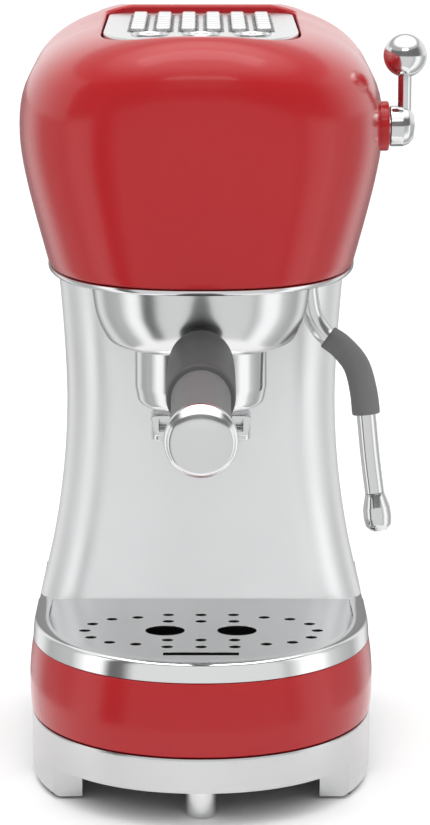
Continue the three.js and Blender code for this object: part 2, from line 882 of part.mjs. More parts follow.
const capStart = handleEnd + capLength;
function handleGrip() {
  const end = capStart + gap;
  const middle = (gripStart + end) / 2;
  return loft([
    handleRing(gripStart - gap, gripRadius, gripRadius),
    handleRing(middle + 8, gripRadius - 0.1, gripRadius - 0.1),
    handleRing(middle - 10, gripRadius + 0.3, gripRadius + 0.3),
    handleRing(end, gripRadius + 0.9, gripRadius + 0.9),
  ]);
}

function handleCap() {
  const r = capRadius;
  return loft([
    handleRing(capStart, r - 1.4, r - 1.4),
    handleRing(capStart - 0.8, r - 0.2, r - 0.2),
    handleRing(capStart - 3, r, r),
    handleRing(capStart - 5, r - 1.2, r - 1.2),
    handleRing(capStart - 7, r - 4.4, r - 4.4),
    handleRing(handleEnd, r - 9, r - 9),
  ]);
}

// ---------------------------------------------------------------- steam wand

const wandLine = [
  [wandRoot.x, wandRoot.y, floorBottom - gap - socketHeight - gap],
  [wandRoot.x + 0.4, wandRoot.y, 209],
  [wandRoot.x + 2.2, wandRoot.y - 0.4, 200],
  [wandRoot.x + 6.8, wandRoot.y - 1.2, 192.6],
  [wandRoot.x + 14.2, wandRoot.y - 2.4, 187.2],
  [wandRoot.x + 20.8, wandRoot.y - 3.8, 179.2],
  [wandRoot.x + 24, wandRoot.y - 5, 168],
  [wandRoot.x + 25.4, wandRoot.y - 6, 156],
  [wandRoot.x + 27, wandRoot.y - 7.6, 140],
  [wandRoot.x + 29, wandRoot.y - 9.4, 124.2],
];
const wandCurve = new THREE.CatmullRomCurve3(wandLine.map((p) => new THREE.Vector3(...p)));
const sleeveFrom = 0.27; // shares of the wand's length that the grip sleeve covers
const sleeveTo = 0.66;

// A tube along part of the wand whose radius runs between two values.
function wandTube(from, to, radiusFrom, radiusTo, steps, sides = 12) {
  const ring = (share, radius) => {
    const at = wandCurve.getPointAt(share);
    const along = wandCurve.getTangentAt(share).normalize();
    const across = new THREE.Vector3(0, 1, 0).cross(along).normalize();
    const up = along.clone().cross(across);
    return Array.from({ length: sides }, (_, i) => {
      const t = (i / sides) * Math.PI * 2;
      return at
        .clone()
        .addScaledVector(across, radius * Math.cos(t))
        .addScaledVector(up, radius * Math.sin(t));
    });
  };
  return loft(
    Array.from({ length: steps + 1 }, (_, i) => {
      const share = from + ((to - from) * i) / steps;
      return ring(share, radiusFrom + ((radiusTo - radiusFrom) * i) / steps);
    }),
  );
}

function wandSleeve() {
  const outer = wandTube(sleeveFrom, sleeveTo, sleeveRadius - 1, sleeveRadius + 0.1, 12, 16);
  const bore = wandTube(sleeveFrom - 0.03, sleeveTo + 0.03, wandRadius + gap, wandRadius + gap, 14, 12);
  return cut(outer, bore);
}

function wandTip() {
  const along = wandCurve.getTangentAt(1).normalize();
  const profile = [
    [0, gap],
    [wandRadius, gap],
    [wandRadius + 0.4, 1.6],
    [tipRadius - 0.2, 6.4],
    [tipRadius, 10.5],
    [tipRadius - 0.9, 14.2],
    [tipRadius - 3, 16.4],
    [0, tipLength],
  ].map(([r, d]) => new THREE.Vector2(r, d));
  const geometry = new THREE.LatheGeometry(profile, 20);
  geometry.applyQuaternion(new THREE.Quaternion().setFromUnitVectors(new THREE.Vector3(0, 1, 0), along));
  const end = wandCurve.getPointAt(1);
  geometry.translate(end.x, end.y, end.z);
  return solid(geometry);
}

function wandSocket() {
  const top = floorBottom - gap;
  const bottom = top - socketHeight;
  const profile = [
    [0, bottom],
    [socketRadius - 2.6, bottom],
    [socketRadius, bottom + 3],
    [socketRadius, top],
    [0, top],
  ];
  return turned(profile, wandRoot.x, wandRoot.y, 20);
}

// ---------------------------------------------------------------- steam lever

const bezelIn = headHalf - headWall - 4;

function leverBezel() {
  const ring = rod(bezelIn, bezelOut, leverY, leverZ, bezelRadius, 24);
  return cut(ring, rod(bezelIn - 1, bezelOut + 1, leverY, leverZ, spindleRadius + slide, 16));
}

function leverBarrel() {
  const start = bezelOut + slide;
  const length = barrelEnd - start;
  const r = barrelRadius;
  const profile = [
    [0, 0],
    [r - 0.5, 0],
    [r, 0.5],
    [r, length - 5.4],
    [r - 0.7, length - 3.2],
    [r - 2.4, length - 1.2],
    [r - 4.8, length],
    [0, length],
  ].map(([radius, along]) => new THREE.Vector2(radius, along));
  const geometry = new THREE.LatheGeometry(profile, roundSteps);
  geometry.rotateZ(-Math.PI / 2);
  geometry.translate(start, leverY, leverZ);
  const spindleHole = rod(start - 1, start + spindleGrip, leverY, leverZ, spindleRadius + gap, 16);
  const rodHole = post(leverRodX, leverY, leverZ + 3, leverZ + 20, rodRadius + gap, 14);
  return cut(solid(geometry), spindleHole, rodHole);
}

const valveIn = 43;
const valveOut = bezelIn - 1;
const spindleIn = 50;

function leverSpindle() {
  return rod(spindleIn, bezelOut + slide + spindleGrip - gap, leverY, leverZ, spindleRadius, 16);
}

function leverRod() {
  return post(leverRodX, leverY, leverZ + 3 + gap, leverZ + leverArm - 4.3, rodRadius, 14);
}

function leverBall() {
  const geometry = new THREE.SphereGeometry(ballRadius, 20, 14);
  geometry.rotateX(Math.PI / 2);
  geometry.translate(leverRodX, leverY, leverZ + leverArm);
  const hole = post(leverRodX, leverY, leverZ, leverZ + leverArm - 4, rodRadius + gap, 14);
  return cut(solid(geometry), hole);
}

function steamValve() {
  const body = rod(valveIn, valveOut, leverY, leverZ, 9, 18);
  return cut(body, rod(spindleIn - 0.8, valveOut + 1, leverY, leverZ, spindleRadius + slide, 16));
}

// ---------------------------------------------------------------- water tank

const seatTop = tankBottom - gap;

function waterTank() {
  const outer = pocket(tank, tankBottom, tankTop, 0, 10, 3);
  const inner = pocket(tank, tankBottom + tankWall, tankTop + 1, tankWall, 10, 3);
  const hole = post(0, seatY, tankBottom - 1, tankBottom + 4, tankValveRadius + gap, 16);
  return cut(outer, inner, hole);
}

function tankValve() {
  const low = tankBottom + 0.2;
  const profile = [
    [0, low],
    [tankValveRadius, low],
    [tankValveRadius, low + 6],
    [tankValveRadius - 2, low + 8],
    [0, low + 8],
  ];
  return turned(profile, 0, seatY, 16);
}

function tankSeat() {
  const seat = pocket(tank, deckTop + gap, seatTop, 3, 10, 3);
  return cut(seat, post(0, seatY, deckTop, seatTop + 1, hoseHole, smallSteps));
}

function tankLid() {
  const bottom = tankTop + gap;
  const slab = stack(tank, [
    [bottom, -lidOverhang],
    [bottom + lidHeight - 4, -lidOverhang],
    [bottom + lidHeight - 1, 0.6],
    [bottom + lidHeight, 3.4],
  ], 10, 3);
  const top = bottom + lidHeight;
  const grip = box(-16, tank.front + 6, top - 6, 16, tank.front + 20, top + 1);
  return cut(slab, grip);
}

// ---------------------------------------------------------------- works inside

const pumpRadius = 15.5;
const pumpBottom = 82;
const pumpTop = 172;
const coilBottom = 112;
const coilTop = 146;

function pump() {
  const { x, y } = pumpSpot;
  const profile = [
    [0, pumpBottom],
    [5, pumpBottom],
    [5, pumpBottom + 8],
    [pumpRadius - 3.5, pumpBottom + 8],
    [pumpRadius - 3.5, pumpTop - 10],
    [5, pumpTop - 10],
    [5, pumpTop],
    [0, pumpTop],
  ];
  return turned(profile, x, y, 18);
}

function pumpCoil() {
  const { x, y } = pumpSpot;
  const half = pumpRadius;
  const block = box(x - half - 1, y - half, coilBottom, x + half + 1, y + half, coilTop);
  return cut(block, post(x, y, coilBottom - 1, coilTop + 1, pumpRadius - 3.5 + gap, 18));
}

function controlBoard() {
  const y = columnBack - 8;
  const board = box(2, y, 88, 50, y + 1.6, 196);
  const relay = box(10, y - 14, 100, 30, y + 0.4, 124);
  const transformer = box(16, y - 18, 140, 42, y + 0.4, 166);
  const capacitor = box(8, y - 9, 176, 18, y + 0.4, 188);
  return join(board, relay, transformer, capacitor);
}

function cordGland() {
  const y = base.back - bandWall;
  const geometry = new THREE.CylinderGeometry(6, 6, 7, 16);
  geometry.translate(45, y + 1.5, 46);
  const bore = new THREE.CylinderGeometry(3.4, 3.4, 20, 12);
  bore.translate(45, y + 1.5, 46);
  return cut(solid(geometry), solid(bore));
}

const glandHole = () => {
  const geometry = new THREE.CylinderGeometry(6 + gap, 6 + gap, 30, 16);
  geometry.translate(45, base.back, 46);
  return solid(geometry);
};

const suctionHose = () =>
  tube(
    [
      [0, seatY, deckTop + gap],
      [0, seatY, 54],
      [-5, seatY - 14, 44],
      [-19, pumpSpot.y + 22, 42],
      [pumpSpot.x, pumpSpot.y + 4, 48],
      [pumpSpot.x, pumpSpot.y, 62],
      [pumpSpot.x, pumpSpot.y, pumpBottom - gap],
    ],
    hoseRadius,
    16,
  );

const pressureHose = () =>
  tube(
    [
      [pumpSpot.x, pumpSpot.y, pumpTop + gap],
      [pumpSpot.x, pumpSpot.y, 205],
      [pumpSpot.x, pumpSpot.y, 235],
      [pumpSpot.x + 5, pumpSpot.y - 12, 250],
      [pumpSpot.x + 14, pumpSpot.y - 30, 254],
      [pumpSpot.x + 18, groupY + boilerRadius + 1, 254],
    ],
    hoseRadius,
    16,
  );

const steamPipe = () =>
  tube(
    [
      [16, groupY + 8, boilerTop + 2 * gap],
      [16, groupY + 8, boilerTop + 4],
      [24, groupY + 13, leverZ],
      [34, leverY, leverZ],
      [valveIn - gap, leverY, leverZ],
    ],
    2,
    10,
  );

const wandPipe = () =>
  tube(
    [
      [49, leverY, leverZ - 9.4],
      [49, leverY + 1, leverZ - 16],
      [wandRoot.x, wandRoot.y - 2, leverZ - 30],
      [wandRoot.x, wandRoot.y, 244],
      [wandRoot.x, wandRoot.y, floorBottom],
    ],
    2,
    12,
  );

// ---------------------------------------------------------------- the parts, by name

add("plinth", plinth(), "cast_silver");
add("front_foot", frontFoot(), "chrome");
add("base_cover", baseCover(), "black_plastic");
for (const [place, spot] of Object.entries(padSpots)) {
  add(place + "_foot_pad", post(spot.x, spot.y, 0, padHeight, 3.2, 12), "foot_rubber");
}
add("rear_band", cut(rearBand(), glandHole()), "red_enamel");
add("base_deck", baseDeck(), "cast_silver");
add("cord_gland", cordGland(), "black_plastic");

add("tray_bin", trayBin(), "black_plastic");
add("tray_band", trayBand(), "red_enamel");
add("tray_rim", trayRim(), "chrome");
add("drip_grid", dripGrid(), "steel");

add("column_shell", columnShell(), "steel");
add("back_panel", backPanel(), "black_plastic");

add("head_shell", headShell(), "red_enamel");
add("head_trim", headTrim(), "chrome");
add("head_floor", headFloor(), "black_plastic");

const top = new THREE.Group();
top.position.set(0, plate.front, plateFrontZ);
top.rotation.x = plateSlope;
const topInner = new THREE.Group();
topInner.position.y = -plate.front;
top.add(topInner);
machine.add(top);
add("warming_plate", warmingPlate(), "steel", topInner);
for (const [name, x, y] of buttonPlaces) {
  add(name, button(x, y), "chrome", topInner);
}
add("button_board", buttonBoard(), "circuit_green", topInner);

add("group_cover", groupCover(), "chrome");
add("bayonet_ring", bayonetRing(), "brass");
add("group_gasket", groupGasket(), "foot_rubber");
add("shower_screen", showerScreen(), "steel");
add("boiler", boiler(), "brass");

add("filter_holder", filterHolder(), "chrome");
add("filter_basket", filterBasket(), "steel");
add("twin_spout", twinSpout(), "chrome");
add("handle_neck", handleNeck(), "chrome");
add("handle_collar", handleCollar(), "grip_rubber");
add("handle_grip", handleGrip(), "grip_rubber");
add("handle_cap", handleCap(), "chrome");

add("wand_socket", wandSocket(), "chrome");
add("wand_tube", wandTube(0, 1, wandRadius, wandRadius, 22), "chrome");
add("wand_sleeve", wandSleeve(), "grip_rubber");
add("wand_tip", wandTip(), "chrome");

add("lever_bezel", leverBezel(), "red_enamel");
add("lever_barrel", leverBarrel(), "chrome");
add("lever_spindle", leverSpindle(), "steel");
add("lever_rod", leverRod(), "chrome");
add("lever_ball", leverBall(), "chrome");
add("steam_valve", steamValve(), "brass");

add("water_tank", waterTank(), "tank_plastic");
add("tank_valve", tankValve(), "black_plastic");
add("tank_seat", tankSeat(), "black_plastic");
add("tank_lid", tankLid(), "red_enamel");

add("pump", pump(), "brass");
add("pump_coil", pumpCoil(), "black_plastic");
add("control_board", controlBoard(), "circuit_green");
add("suction_hose", suctionHose(), "hose_silicone");
add("pressure_hose", pressureHose(), "hose_silicone");
add("steam_pipe", steamPipe(), "brass");
add("wand_feed_pipe", wandPipe(), "brass");

export default machine;
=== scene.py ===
import json
import math

import bmesh
import bpy
from bpy.props import BoolProperty, FloatProperty, FloatVectorProperty, IntProperty, PointerProperty
from mathutils import Matrix, Vector
from mathutils.kdtree import KDTree

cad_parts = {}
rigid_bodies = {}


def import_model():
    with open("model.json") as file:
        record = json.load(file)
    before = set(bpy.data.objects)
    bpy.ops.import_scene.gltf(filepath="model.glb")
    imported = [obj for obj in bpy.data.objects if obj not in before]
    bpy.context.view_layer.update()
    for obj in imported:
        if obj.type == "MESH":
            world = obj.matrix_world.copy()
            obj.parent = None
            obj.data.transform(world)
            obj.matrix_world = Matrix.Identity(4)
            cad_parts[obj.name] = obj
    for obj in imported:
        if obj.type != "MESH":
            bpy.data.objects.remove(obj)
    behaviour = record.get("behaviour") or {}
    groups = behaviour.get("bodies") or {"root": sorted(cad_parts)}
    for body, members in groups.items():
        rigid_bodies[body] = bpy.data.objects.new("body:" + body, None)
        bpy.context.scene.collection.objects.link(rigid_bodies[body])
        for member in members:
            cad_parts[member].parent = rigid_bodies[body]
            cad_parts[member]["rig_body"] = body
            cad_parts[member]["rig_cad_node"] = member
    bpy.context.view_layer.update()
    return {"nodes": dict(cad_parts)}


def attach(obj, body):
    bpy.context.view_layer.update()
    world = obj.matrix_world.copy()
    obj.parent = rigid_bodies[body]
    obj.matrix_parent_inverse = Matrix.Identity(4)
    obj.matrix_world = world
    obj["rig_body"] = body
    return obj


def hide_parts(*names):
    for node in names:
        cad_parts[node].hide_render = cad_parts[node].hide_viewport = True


bl_info = {
    "name": "Espresso Machine",
    "version": (1, 0, 0),
    "blender": (4, 5, 0),
    "location": "View3D > Sidebar > Espresso",
    "description": "Builds a pump espresso machine piece by piece around its solid model",
    "category": "Add Mesh",
}

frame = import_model()
MM = 0.001

# ---- shared sizes, in millimetres

# Plan outlines: half-width, front, where it is widest, back, rear corner radius and bluntness of the
# front.
BASE_PLAN = (73.8, -18, 68, 214, 34, 2.1)
PLATE_PLAN = (40.5, 1, 51, 139, 10, 2.6)
TANK_PLAN = (52, 158, 174, 211.5, 16, 2)

TRAY_END = 96.5  # the drip tray ends here, and the fixed part of the base starts just behind
FIXED_START = 97.5
GROUP_Y = 42

COLUMN_WAIST_Z = 157
COLUMN_FOOT_Z = 66
COLUMN_TOP_Z = 222.8

HEAD_BOTTOM = 226
HEAD_TOP = 330
HEAD_HALF = 77
HEAD_FRONT = -24
HEAD_WIDE = 81
HEAD_BACK = 155
HEAD_MIDDLE = 284
HEAD_TAPER = 0.29
HEAD_TAPER_BLEND = 20
HEAD_CROWN = 47.4
HEAD_CROWN_POWER = 2.6
HEAD_FILLET = 24
HEAD_FRONT_DROP = 5
HEAD_CORNER = 10
HEAD_POWER = 2.5
HEAD_WALL = 2.5
HEAD_REAR_FILLET = 4

PLATE_FRONT_Z = 322.8
PLATE_SLOPE = math.radians(1.2)

HANDLE_SLOPE = math.radians(8.2)
GRIP_START = -51.6
GRIP_START_Z = 186.9

WAND_ROOT = (46, 74)
LEVER_Y = 60
LEVER_Z = 283.2

# ---- settings a user would change


class EspressoFinish(bpy.types.PropertyGroup):
    enamel: FloatVectorProperty(
        name="Enamel", description="Colour of the glossy head, band and tank lid", subtype="COLOR",
        size=3, min=0, max=1, default=(0.375, 0.012, 0.015),
    )
    enamel_roughness: FloatProperty(
        name="Enamel roughness", description="How matt the enamel is", subtype="FACTOR", min=0, max=1,
        default=0.19,
    )
    chrome: FloatVectorProperty(
        name="Chrome", description="Tint of the plated pieces", subtype="COLOR", size=3, min=0, max=1,
        default=(0.7, 0.705, 0.71),
    )
    steel_roughness: FloatProperty(
        name="Steel roughness", description="How matt the column is polished", subtype="FACTOR", min=0,
        max=1, default=0.42,
    )
    grip: FloatVectorProperty(
        name="Grip", description="Colour of the handle and of the sleeve on the steam wand",
        subtype="COLOR", size=3, min=0, max=1, default=(0.125, 0.126, 0.129),
    )


class EspressoShape(bpy.types.PropertyGroup):
    round_steps: IntProperty(
        name="Round steps", description="Sides of a turned piece", min=24, max=160, default=96,
    )
    front_steps: IntProperty(
        name="Front steps", description="Points along the oval front of the base and head", min=24,
        max=160, default=88,
    )
    seam: FloatProperty(
        name="Edge rounding", description="Radius on the edges of the plain pressed pieces",
        unit="LENGTH", min=0, max=0.002, default=0.0005,
    )
    show_marks: BoolProperty(
        name="Button marks", description="Small plain marks on the buttons", default=True,
    )


class Undoable:
    """What all the operators share."""

    bl_options = {"REGISTER", "UNDO"}


def finish_settings():
    return bpy.context.scene.espresso_finish


def shape_settings():
    return bpy.context.scene.espresso_shape


# ---- working on meshes


def in_metres(points):
    return [Vector(point) * MM for point in points]


def deselect():
    bpy.ops.object.select_all(action="DESELECT")


def select_only(piece):
    deselect()
    piece.select_set(True)
    bpy.context.view_layer.objects.active = piece


def begin_edit(piece):
    select_only(piece)
    bpy.ops.object.mode_set(mode="EDIT")
    bpy.ops.mesh.select_all(action="SELECT")


def end_edit():
    bpy.ops.object.mode_set(mode="OBJECT")


def face_outwards():
    bpy.ops.mesh.select_all(action="SELECT")
    bpy.ops.mesh.remove_doubles(threshold=0.000002)
    bpy.ops.mesh.normals_make_consistent(inside=False)


def named(name):
    piece = bpy.context.object
    piece.name = name
    piece.data.name = name
    return piece


def move_ring(piece, old, new):
    """Moves each selected point from its place in the old ring to its place in the new one."""
    finder = KDTree(len(old))
    for index, point in enumerate(old):
        finder.insert(point, index)
    finder.balance()
    mesh = bmesh.from_edit_mesh(piece.data)
    for vertex in mesh.verts:
        if vertex.select:
            vertex.co = new[finder.find(vertex.co)[1]]
    bmesh.update_edit_mesh(piece.data)


def drawn_up(name, rings, closed=False):
    """A skin drawn through rings of points, one extrusion of the edge loop for each.
    A closed one meets its first ring again, and an open one is capped at both ends."""
    rings = [in_metres(ring) for ring in rings]
    deselect()
    bpy.ops.mesh.primitive_circle_add(vertices=len(rings[0]), radius=1, fill_type="NOTHING")
    piece = named(name)
    begin_edit(piece)
    mesh = bmesh.from_edit_mesh(piece.data)
    for vertex, point in zip(mesh.verts, rings[0]):
        vertex.co = point
    bmesh.update_edit_mesh(piece.data)
    path = rings + [rings[0]] if closed else rings
    for old, new in zip(path, path[1:]):
        bpy.ops.mesh.extrude_region_move()
        move_ring(piece, old, new)
    if not closed:
        bpy.ops.mesh.select_all(action="SELECT")
        bpy.ops.mesh.fill_holes(sides=0)
    face_outwards()
    end_edit()
    return piece


def turned(name, profile, centre=(0, 0), steps=None):
    """A profile of (radius, height) spun about the upright line through centre."""
    x, y = centre
    path = in_metres([(x + radius, y, height) for radius, height in profile])
    deselect()
    bpy.ops.mesh.primitive_plane_add(size=0.001)
    piece = named(name)
    begin_edit(piece)
    bpy.ops.mesh.merge(type="CENTER")
    bpy.ops.transform.translate(value=path[0])
    for start, end in zip(path, path[1:]):
        bpy.ops.mesh.extrude_region_move(TRANSFORM_OT_translate={"value": end - start})
    bpy.ops.mesh.select_all(action="SELECT")
    bpy.ops.mesh.spin(
        steps=steps or shape_settings().round_steps, angle=math.tau, center=Vector((x, y, 0)) * MM,
        axis=(0, 0, 1),
    )
    face_outwards()
    end_edit()
    return piece


def block(name, low, high, rounding=0.0, segments=3):
    """A box from its lowest to its highest corner, with its edges rounded."""
    low, high = Vector(low) * MM, Vector(high) * MM
    deselect()
    bpy.ops.mesh.primitive_cube_add(size=1)
    piece = named(name)
    begin_edit(piece)
    bpy.ops.transform.resize(value=high - low)
    bpy.ops.transform.translate(value=(low + high) / 2)
    if rounding:
        bpy.ops.mesh.bevel(offset=rounding * MM, segments=segments, affect="EDGES")
    end_edit()
    return piece


def rounded(corners, steps=6):
    """A path whose corners are (x, y) or (x, y, radius); those with a radius are rounded."""
    path = []
    for index, corner in enumerate(corners):
        here = Vector(corner[:2])
        radius = corner[2] if len(corner) > 2 else 0
        if not radius or index in (0, len(corners) - 1):
            path.append(tuple(here))
            continue
        before = Vector(corners[index - 1][:2]) - here
        after = Vector(corners[index + 1][:2]) - here
        half_angle = before.angle(after) / 2
        reach = min(radius / math.tan(half_angle), before.length * 0.49, after.length * 0.49)
        start = here + before.normalized() * reach
        end = here + after.normalized() * reach
        for step in range(steps + 1):
            t = step / steps
            path.append(tuple(start * (1 - t) ** 2 + here * 2 * t * (1 - t) + end * t * t))
    return path


def flowing(points, steps=5):
    """A smooth curve through all the points."""
    points = [Vector(point) for point in points]
    ends = [points[0] * 2 - points[1]] + points + [points[-1] * 2 - points[-2]]
    path = []
    for a, b, c, d in zip(ends, ends[1:], ends[2:], ends[3:]):
        for step in range(steps):
            t = step / steps
            start = 2 * b + (c - a) * t + (2 * a - 5 * b + 4 * c - d) * t**2
            path.append(0.5 * (start + (3 * b - a - 3 * c + d) * t**3))
    return [tuple(point) for point in path + [points[-1]]]


def apply_modifier(piece, kind, **values):
    modifier = piece.modifiers.new(kind.lower(), kind)
    for key, value in values.items():
        setattr(modifier, key, value)
    select_only(piece)
    bpy.ops.object.modifier_apply(modifier=modifier.name)


def carve(piece, *cutters, operation="DIFFERENCE"):
    for cutter in cutters:
        apply_modifier(piece, "BOOLEAN", object=cutter, operation=operation, solver="EXACT")
        bpy.data.objects.remove(cutter)
    return piece


def bevelled(piece, width=None, segments=2):
    apply_modifier(
        piece,
        "BEVEL",
        width=width * MM if width else shape_settings().seam, segments=segments, limit_method="ANGLE",
        angle_limit=math.radians(38),
    )
    return piece


def joined(piece, *others):
    select_only(piece)
    for other in others:
        other.select_set(True)
    bpy.ops.object.join()
    return piece


def twin(piece, name, offset):
    """A copy with its own mesh, moved aside."""
    copy = piece.copy()
    copy.data = piece.data.copy()
    copy.name = copy.data.name = name
    bpy.context.collection.objects.link(copy)
    copy.data.transform(Matrix.Translation(Vector(offset) * MM))
    return copy


def placed(piece, turn, spot):
    """Turns a piece about the origin and moves it to its spot, in its mesh."""
    piece.data.transform(Matrix.Translation(Vector(spot) * MM) @ turn)
    return piece


def halved(piece, y, keep_front):
    """Cuts a piece across at y and closes the cut."""
    begin_edit(piece)
    bpy.ops.mesh.bisect(
        plane_co=(0, y * MM, 0), plane_no=(0, 1, 0), use_fill=True, clear_outer=keep_front,
        clear_inner=not keep_front,
    )
    face_outwards()
    end_edit()
    return piece


def solid_copy(name, node):
    """A merged copy of a node of the solid model, to be finished with rounded edges."""
    source = frame["nodes"][node]
    piece = source.copy()
    piece.data = source.data.copy()
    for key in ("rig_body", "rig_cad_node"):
        if key in piece:
            del piece[key]
    piece.parent = None
    piece.name = piece.data.name = name
    piece.data.materials.clear()
    bpy.context.collection.objects.link(piece)
    begin_edit(piece)
    face_outwards()
    bpy.ops.mesh.dissolve_limited(angle_limit=math.radians(2))
    end_edit()
    return piece


def smoothed(piece, degrees=34):
    select_only(piece)
    bpy.ops.object.shade_smooth_by_angle(angle=math.radians(degrees))
    return piece


def finished(piece, body, slot, material, *nodes, smooth=34, flats=False):
    """Gives a piece its shading, material and body, and lets it stand for its nodes."""
    smoothed(piece, smooth)
    if flats:
        apply_modifier(piece, "WEIGHTED_NORMAL", keep_sharp=True, weight=90)
    piece.data.materials.clear()
    piece.data.materials.append(material)
    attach(piece, body)
    if nodes:
        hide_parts(*nodes)
    return piece


def dress(material, *nodes):
    """Gives nodes of the solid model a better material."""
    for node in nodes:
        piece = frame["nodes"][node]
        for slot in piece.material_slots:
            slot.material = material


# ---- outlines


def plan(shape, inset=0.0, corner_steps=10, side_steps=10):
    """A blunt oval front, straight sides and a back with round corners."""
    half, front, wide, back, corner, power = shape
    steps = shape_settings().front_steps
    width = half - inset
    depth = wide - front - inset
    points = []
    for step in range(steps + 1):
        turn = math.pi * (step / steps - 0.5)
        share = abs(math.sin(turn)) ** (2 / power)
        x = math.copysign(width * share, turn)
        points.append((x, wide - depth * max(math.cos(turn), 0) ** (2 / power)))
    radius = min(max(corner - inset, 0.8), width - 0.1)
    rear = back - inset - radius
    straight = [wide + (rear - wide) * step / side_steps for step in range(1, side_steps)]
    points += [(width, y) for y in straight]
    for side in (0, 1):
        for step in range(corner_steps + 1):
            turn = math.pi / 2 * (side + step / corner_steps)
            centre = (radius - width) if side else (width - radius)
            points.append((centre + radius * math.cos(turn), rear + radius * math.sin(turn)))
    points += [(-width, y) for y in reversed(straight)]
    return points


def plan_rings(shape, levels):
    return [[(x, y, z) for x, y in plan(shape, inset)] for z, inset in levels]


# ---- finishes


def wire(start, output, end, inlet):
    start.id_data.links.new(start.outputs[output], end.inputs[inlet])


def noise_group(name, detail, result, kind, **inputs):
    """A new group round a noise in object coordinates: its entry, place, noise and exit.
    Each input is given by its kind of socket and its value."""
    tree = bpy.data.node_groups.new(name, "ShaderNodeTree")
    for socket, (socket_kind, value) in inputs.items():
        made = tree.interface.new_socket(name=socket, in_out="INPUT", socket_type=socket_kind)
        made.default_value = value
    tree.interface.new_socket(name=result, in_out="OUTPUT", socket_type=kind)
    kinds = ("NodeGroupInput", "ShaderNodeTexCoord", "ShaderNodeTexNoise", "NodeGroupOutput")
    entry, place, noise, leave = [tree.nodes.new(each) for each in kinds]
    noise.inputs["Detail"].default_value = detail
    wire(entry, "Scale", noise, "Scale")
    return tree, entry, place, noise, leave


def smudge_group():
    """Roughness that drifts between two values, as handling and cleaning leave it."""
    tree, entry, place, noise, leave = noise_group(
        "Smudged Roughness", 5.0, "Roughness", "NodeSocketFloat", Scale=("NodeSocketFloat", 18.0),
        Lowest=("NodeSocketFloat", 0.1), Highest=("NodeSocketFloat", 0.2),
    )
    spread = tree.nodes.new("ShaderNodeMapRange")
    spread.inputs["From Min"].default_value = 0.35
    spread.inputs["From Max"].default_value = 0.68
    wire(place, "Object", noise, "Vector")
    wire(noise, "Fac", spread, "Value")
    wire(entry, "Lowest", spread, "To Min")
    wire(entry, "Highest", spread, "To Max")
    wire(spread, "Result", leave, "Roughness")
    return tree


def grain_group():
    """The height of a fine grain, drawn out along an axis by Stretch."""
    tree, entry, place, noise, leave = noise_group(
        "Fine Grain", 2.0, "Height", "NodeSocketFloat", Scale=("NodeSocketFloat", 900.0),
        Stretch=("NodeSocketVector", (1.0, 1.0, 1.0)),
    )
    stretch = tree.nodes.new("ShaderNodeMapping")
    wire(place, "Object", stretch, "Vector")
    wire(entry, "Stretch", stretch, "Scale")
    wire(stretch, "Vector", noise, "Vector")
    wire(noise, "Fac", leave, "Height")
    return tree


def shade_group():
    """A colour that drifts a little darker in broad soft patches."""
    tree, entry, place, noise, leave = noise_group(
        "Uneven Colour", 2.0, "Colour", "NodeSocketColor",
        Colour=("NodeSocketColor", (0.5, 0.5, 0.5, 1.0)),
        Darker=("NodeSocketColor", (0.4, 0.4, 0.4, 1.0)), Scale=("NodeSocketFloat", 12.0),
    )
    blend = tree.nodes.new("ShaderNodeMix")
    blend.data_type = "RGBA"
    wire(place, "Object", noise, "Vector")
    wire(noise, "Fac", blend, 0)
    wire(entry, "Colour", blend, 6)
    wire(entry, "Darker", blend, 7)
    wire(blend, 2, leave, "Colour")
    return tree


GROUPS = {}


def group_node(tree, name, **values):
    makers = {"smudge": smudge_group, "grain": grain_group, "shade": shade_group}
    if name not in GROUPS:
        GROUPS[name] = makers[name]()
    node = tree.nodes.new("ShaderNodeGroup")
    node.node_tree = GROUPS[name]
    for socket, value in values.items():
        node.inputs[socket].default_value = value
    return node


SMUDGE_SCALE = 20.0
GRAIN_DEPTH = 0.0002


def surface(
    name, colour, rough, darker=0.97, shade_scale=14.0, grain=900.0, stretch=(1.0, 1.0, 1.0),
    relief=0.0, **shader_values,
):
    """A material with uneven colour, drifting roughness and a fine grain."""
    material = bpy.data.materials.new(name)
    material.use_nodes = True
    tree = material.node_tree
    shader = tree.nodes["Principled BSDF"]
    for socket, value in shader_values.items():
        shader.inputs[socket].default_value = value
    dark = tuple(channel * darker for channel in colour)
    shade = group_node(tree, "shade", Colour=(*colour, 1), Darker=(*dark, 1), Scale=shade_scale)
    smudge = group_node(tree, "smudge", Scale=SMUDGE_SCALE, Lowest=rough[0], Highest=rough[1])
    height = group_node(tree, "grain", Scale=grain, Stretch=stretch)
    bump = tree.nodes.new("ShaderNodeBump")
    bump.inputs["Strength"].default_value = relief
    bump.inputs["Distance"].default_value = GRAIN_DEPTH
    wire(shade, "Colour", shader, "Base Color")
    wire(smudge, "Roughness", shader, "Roughness")
    wire(height, "Height", bump, "Height")
    wire(bump, "Normal", shader, "Normal")
    return material


MATERIALS = {}


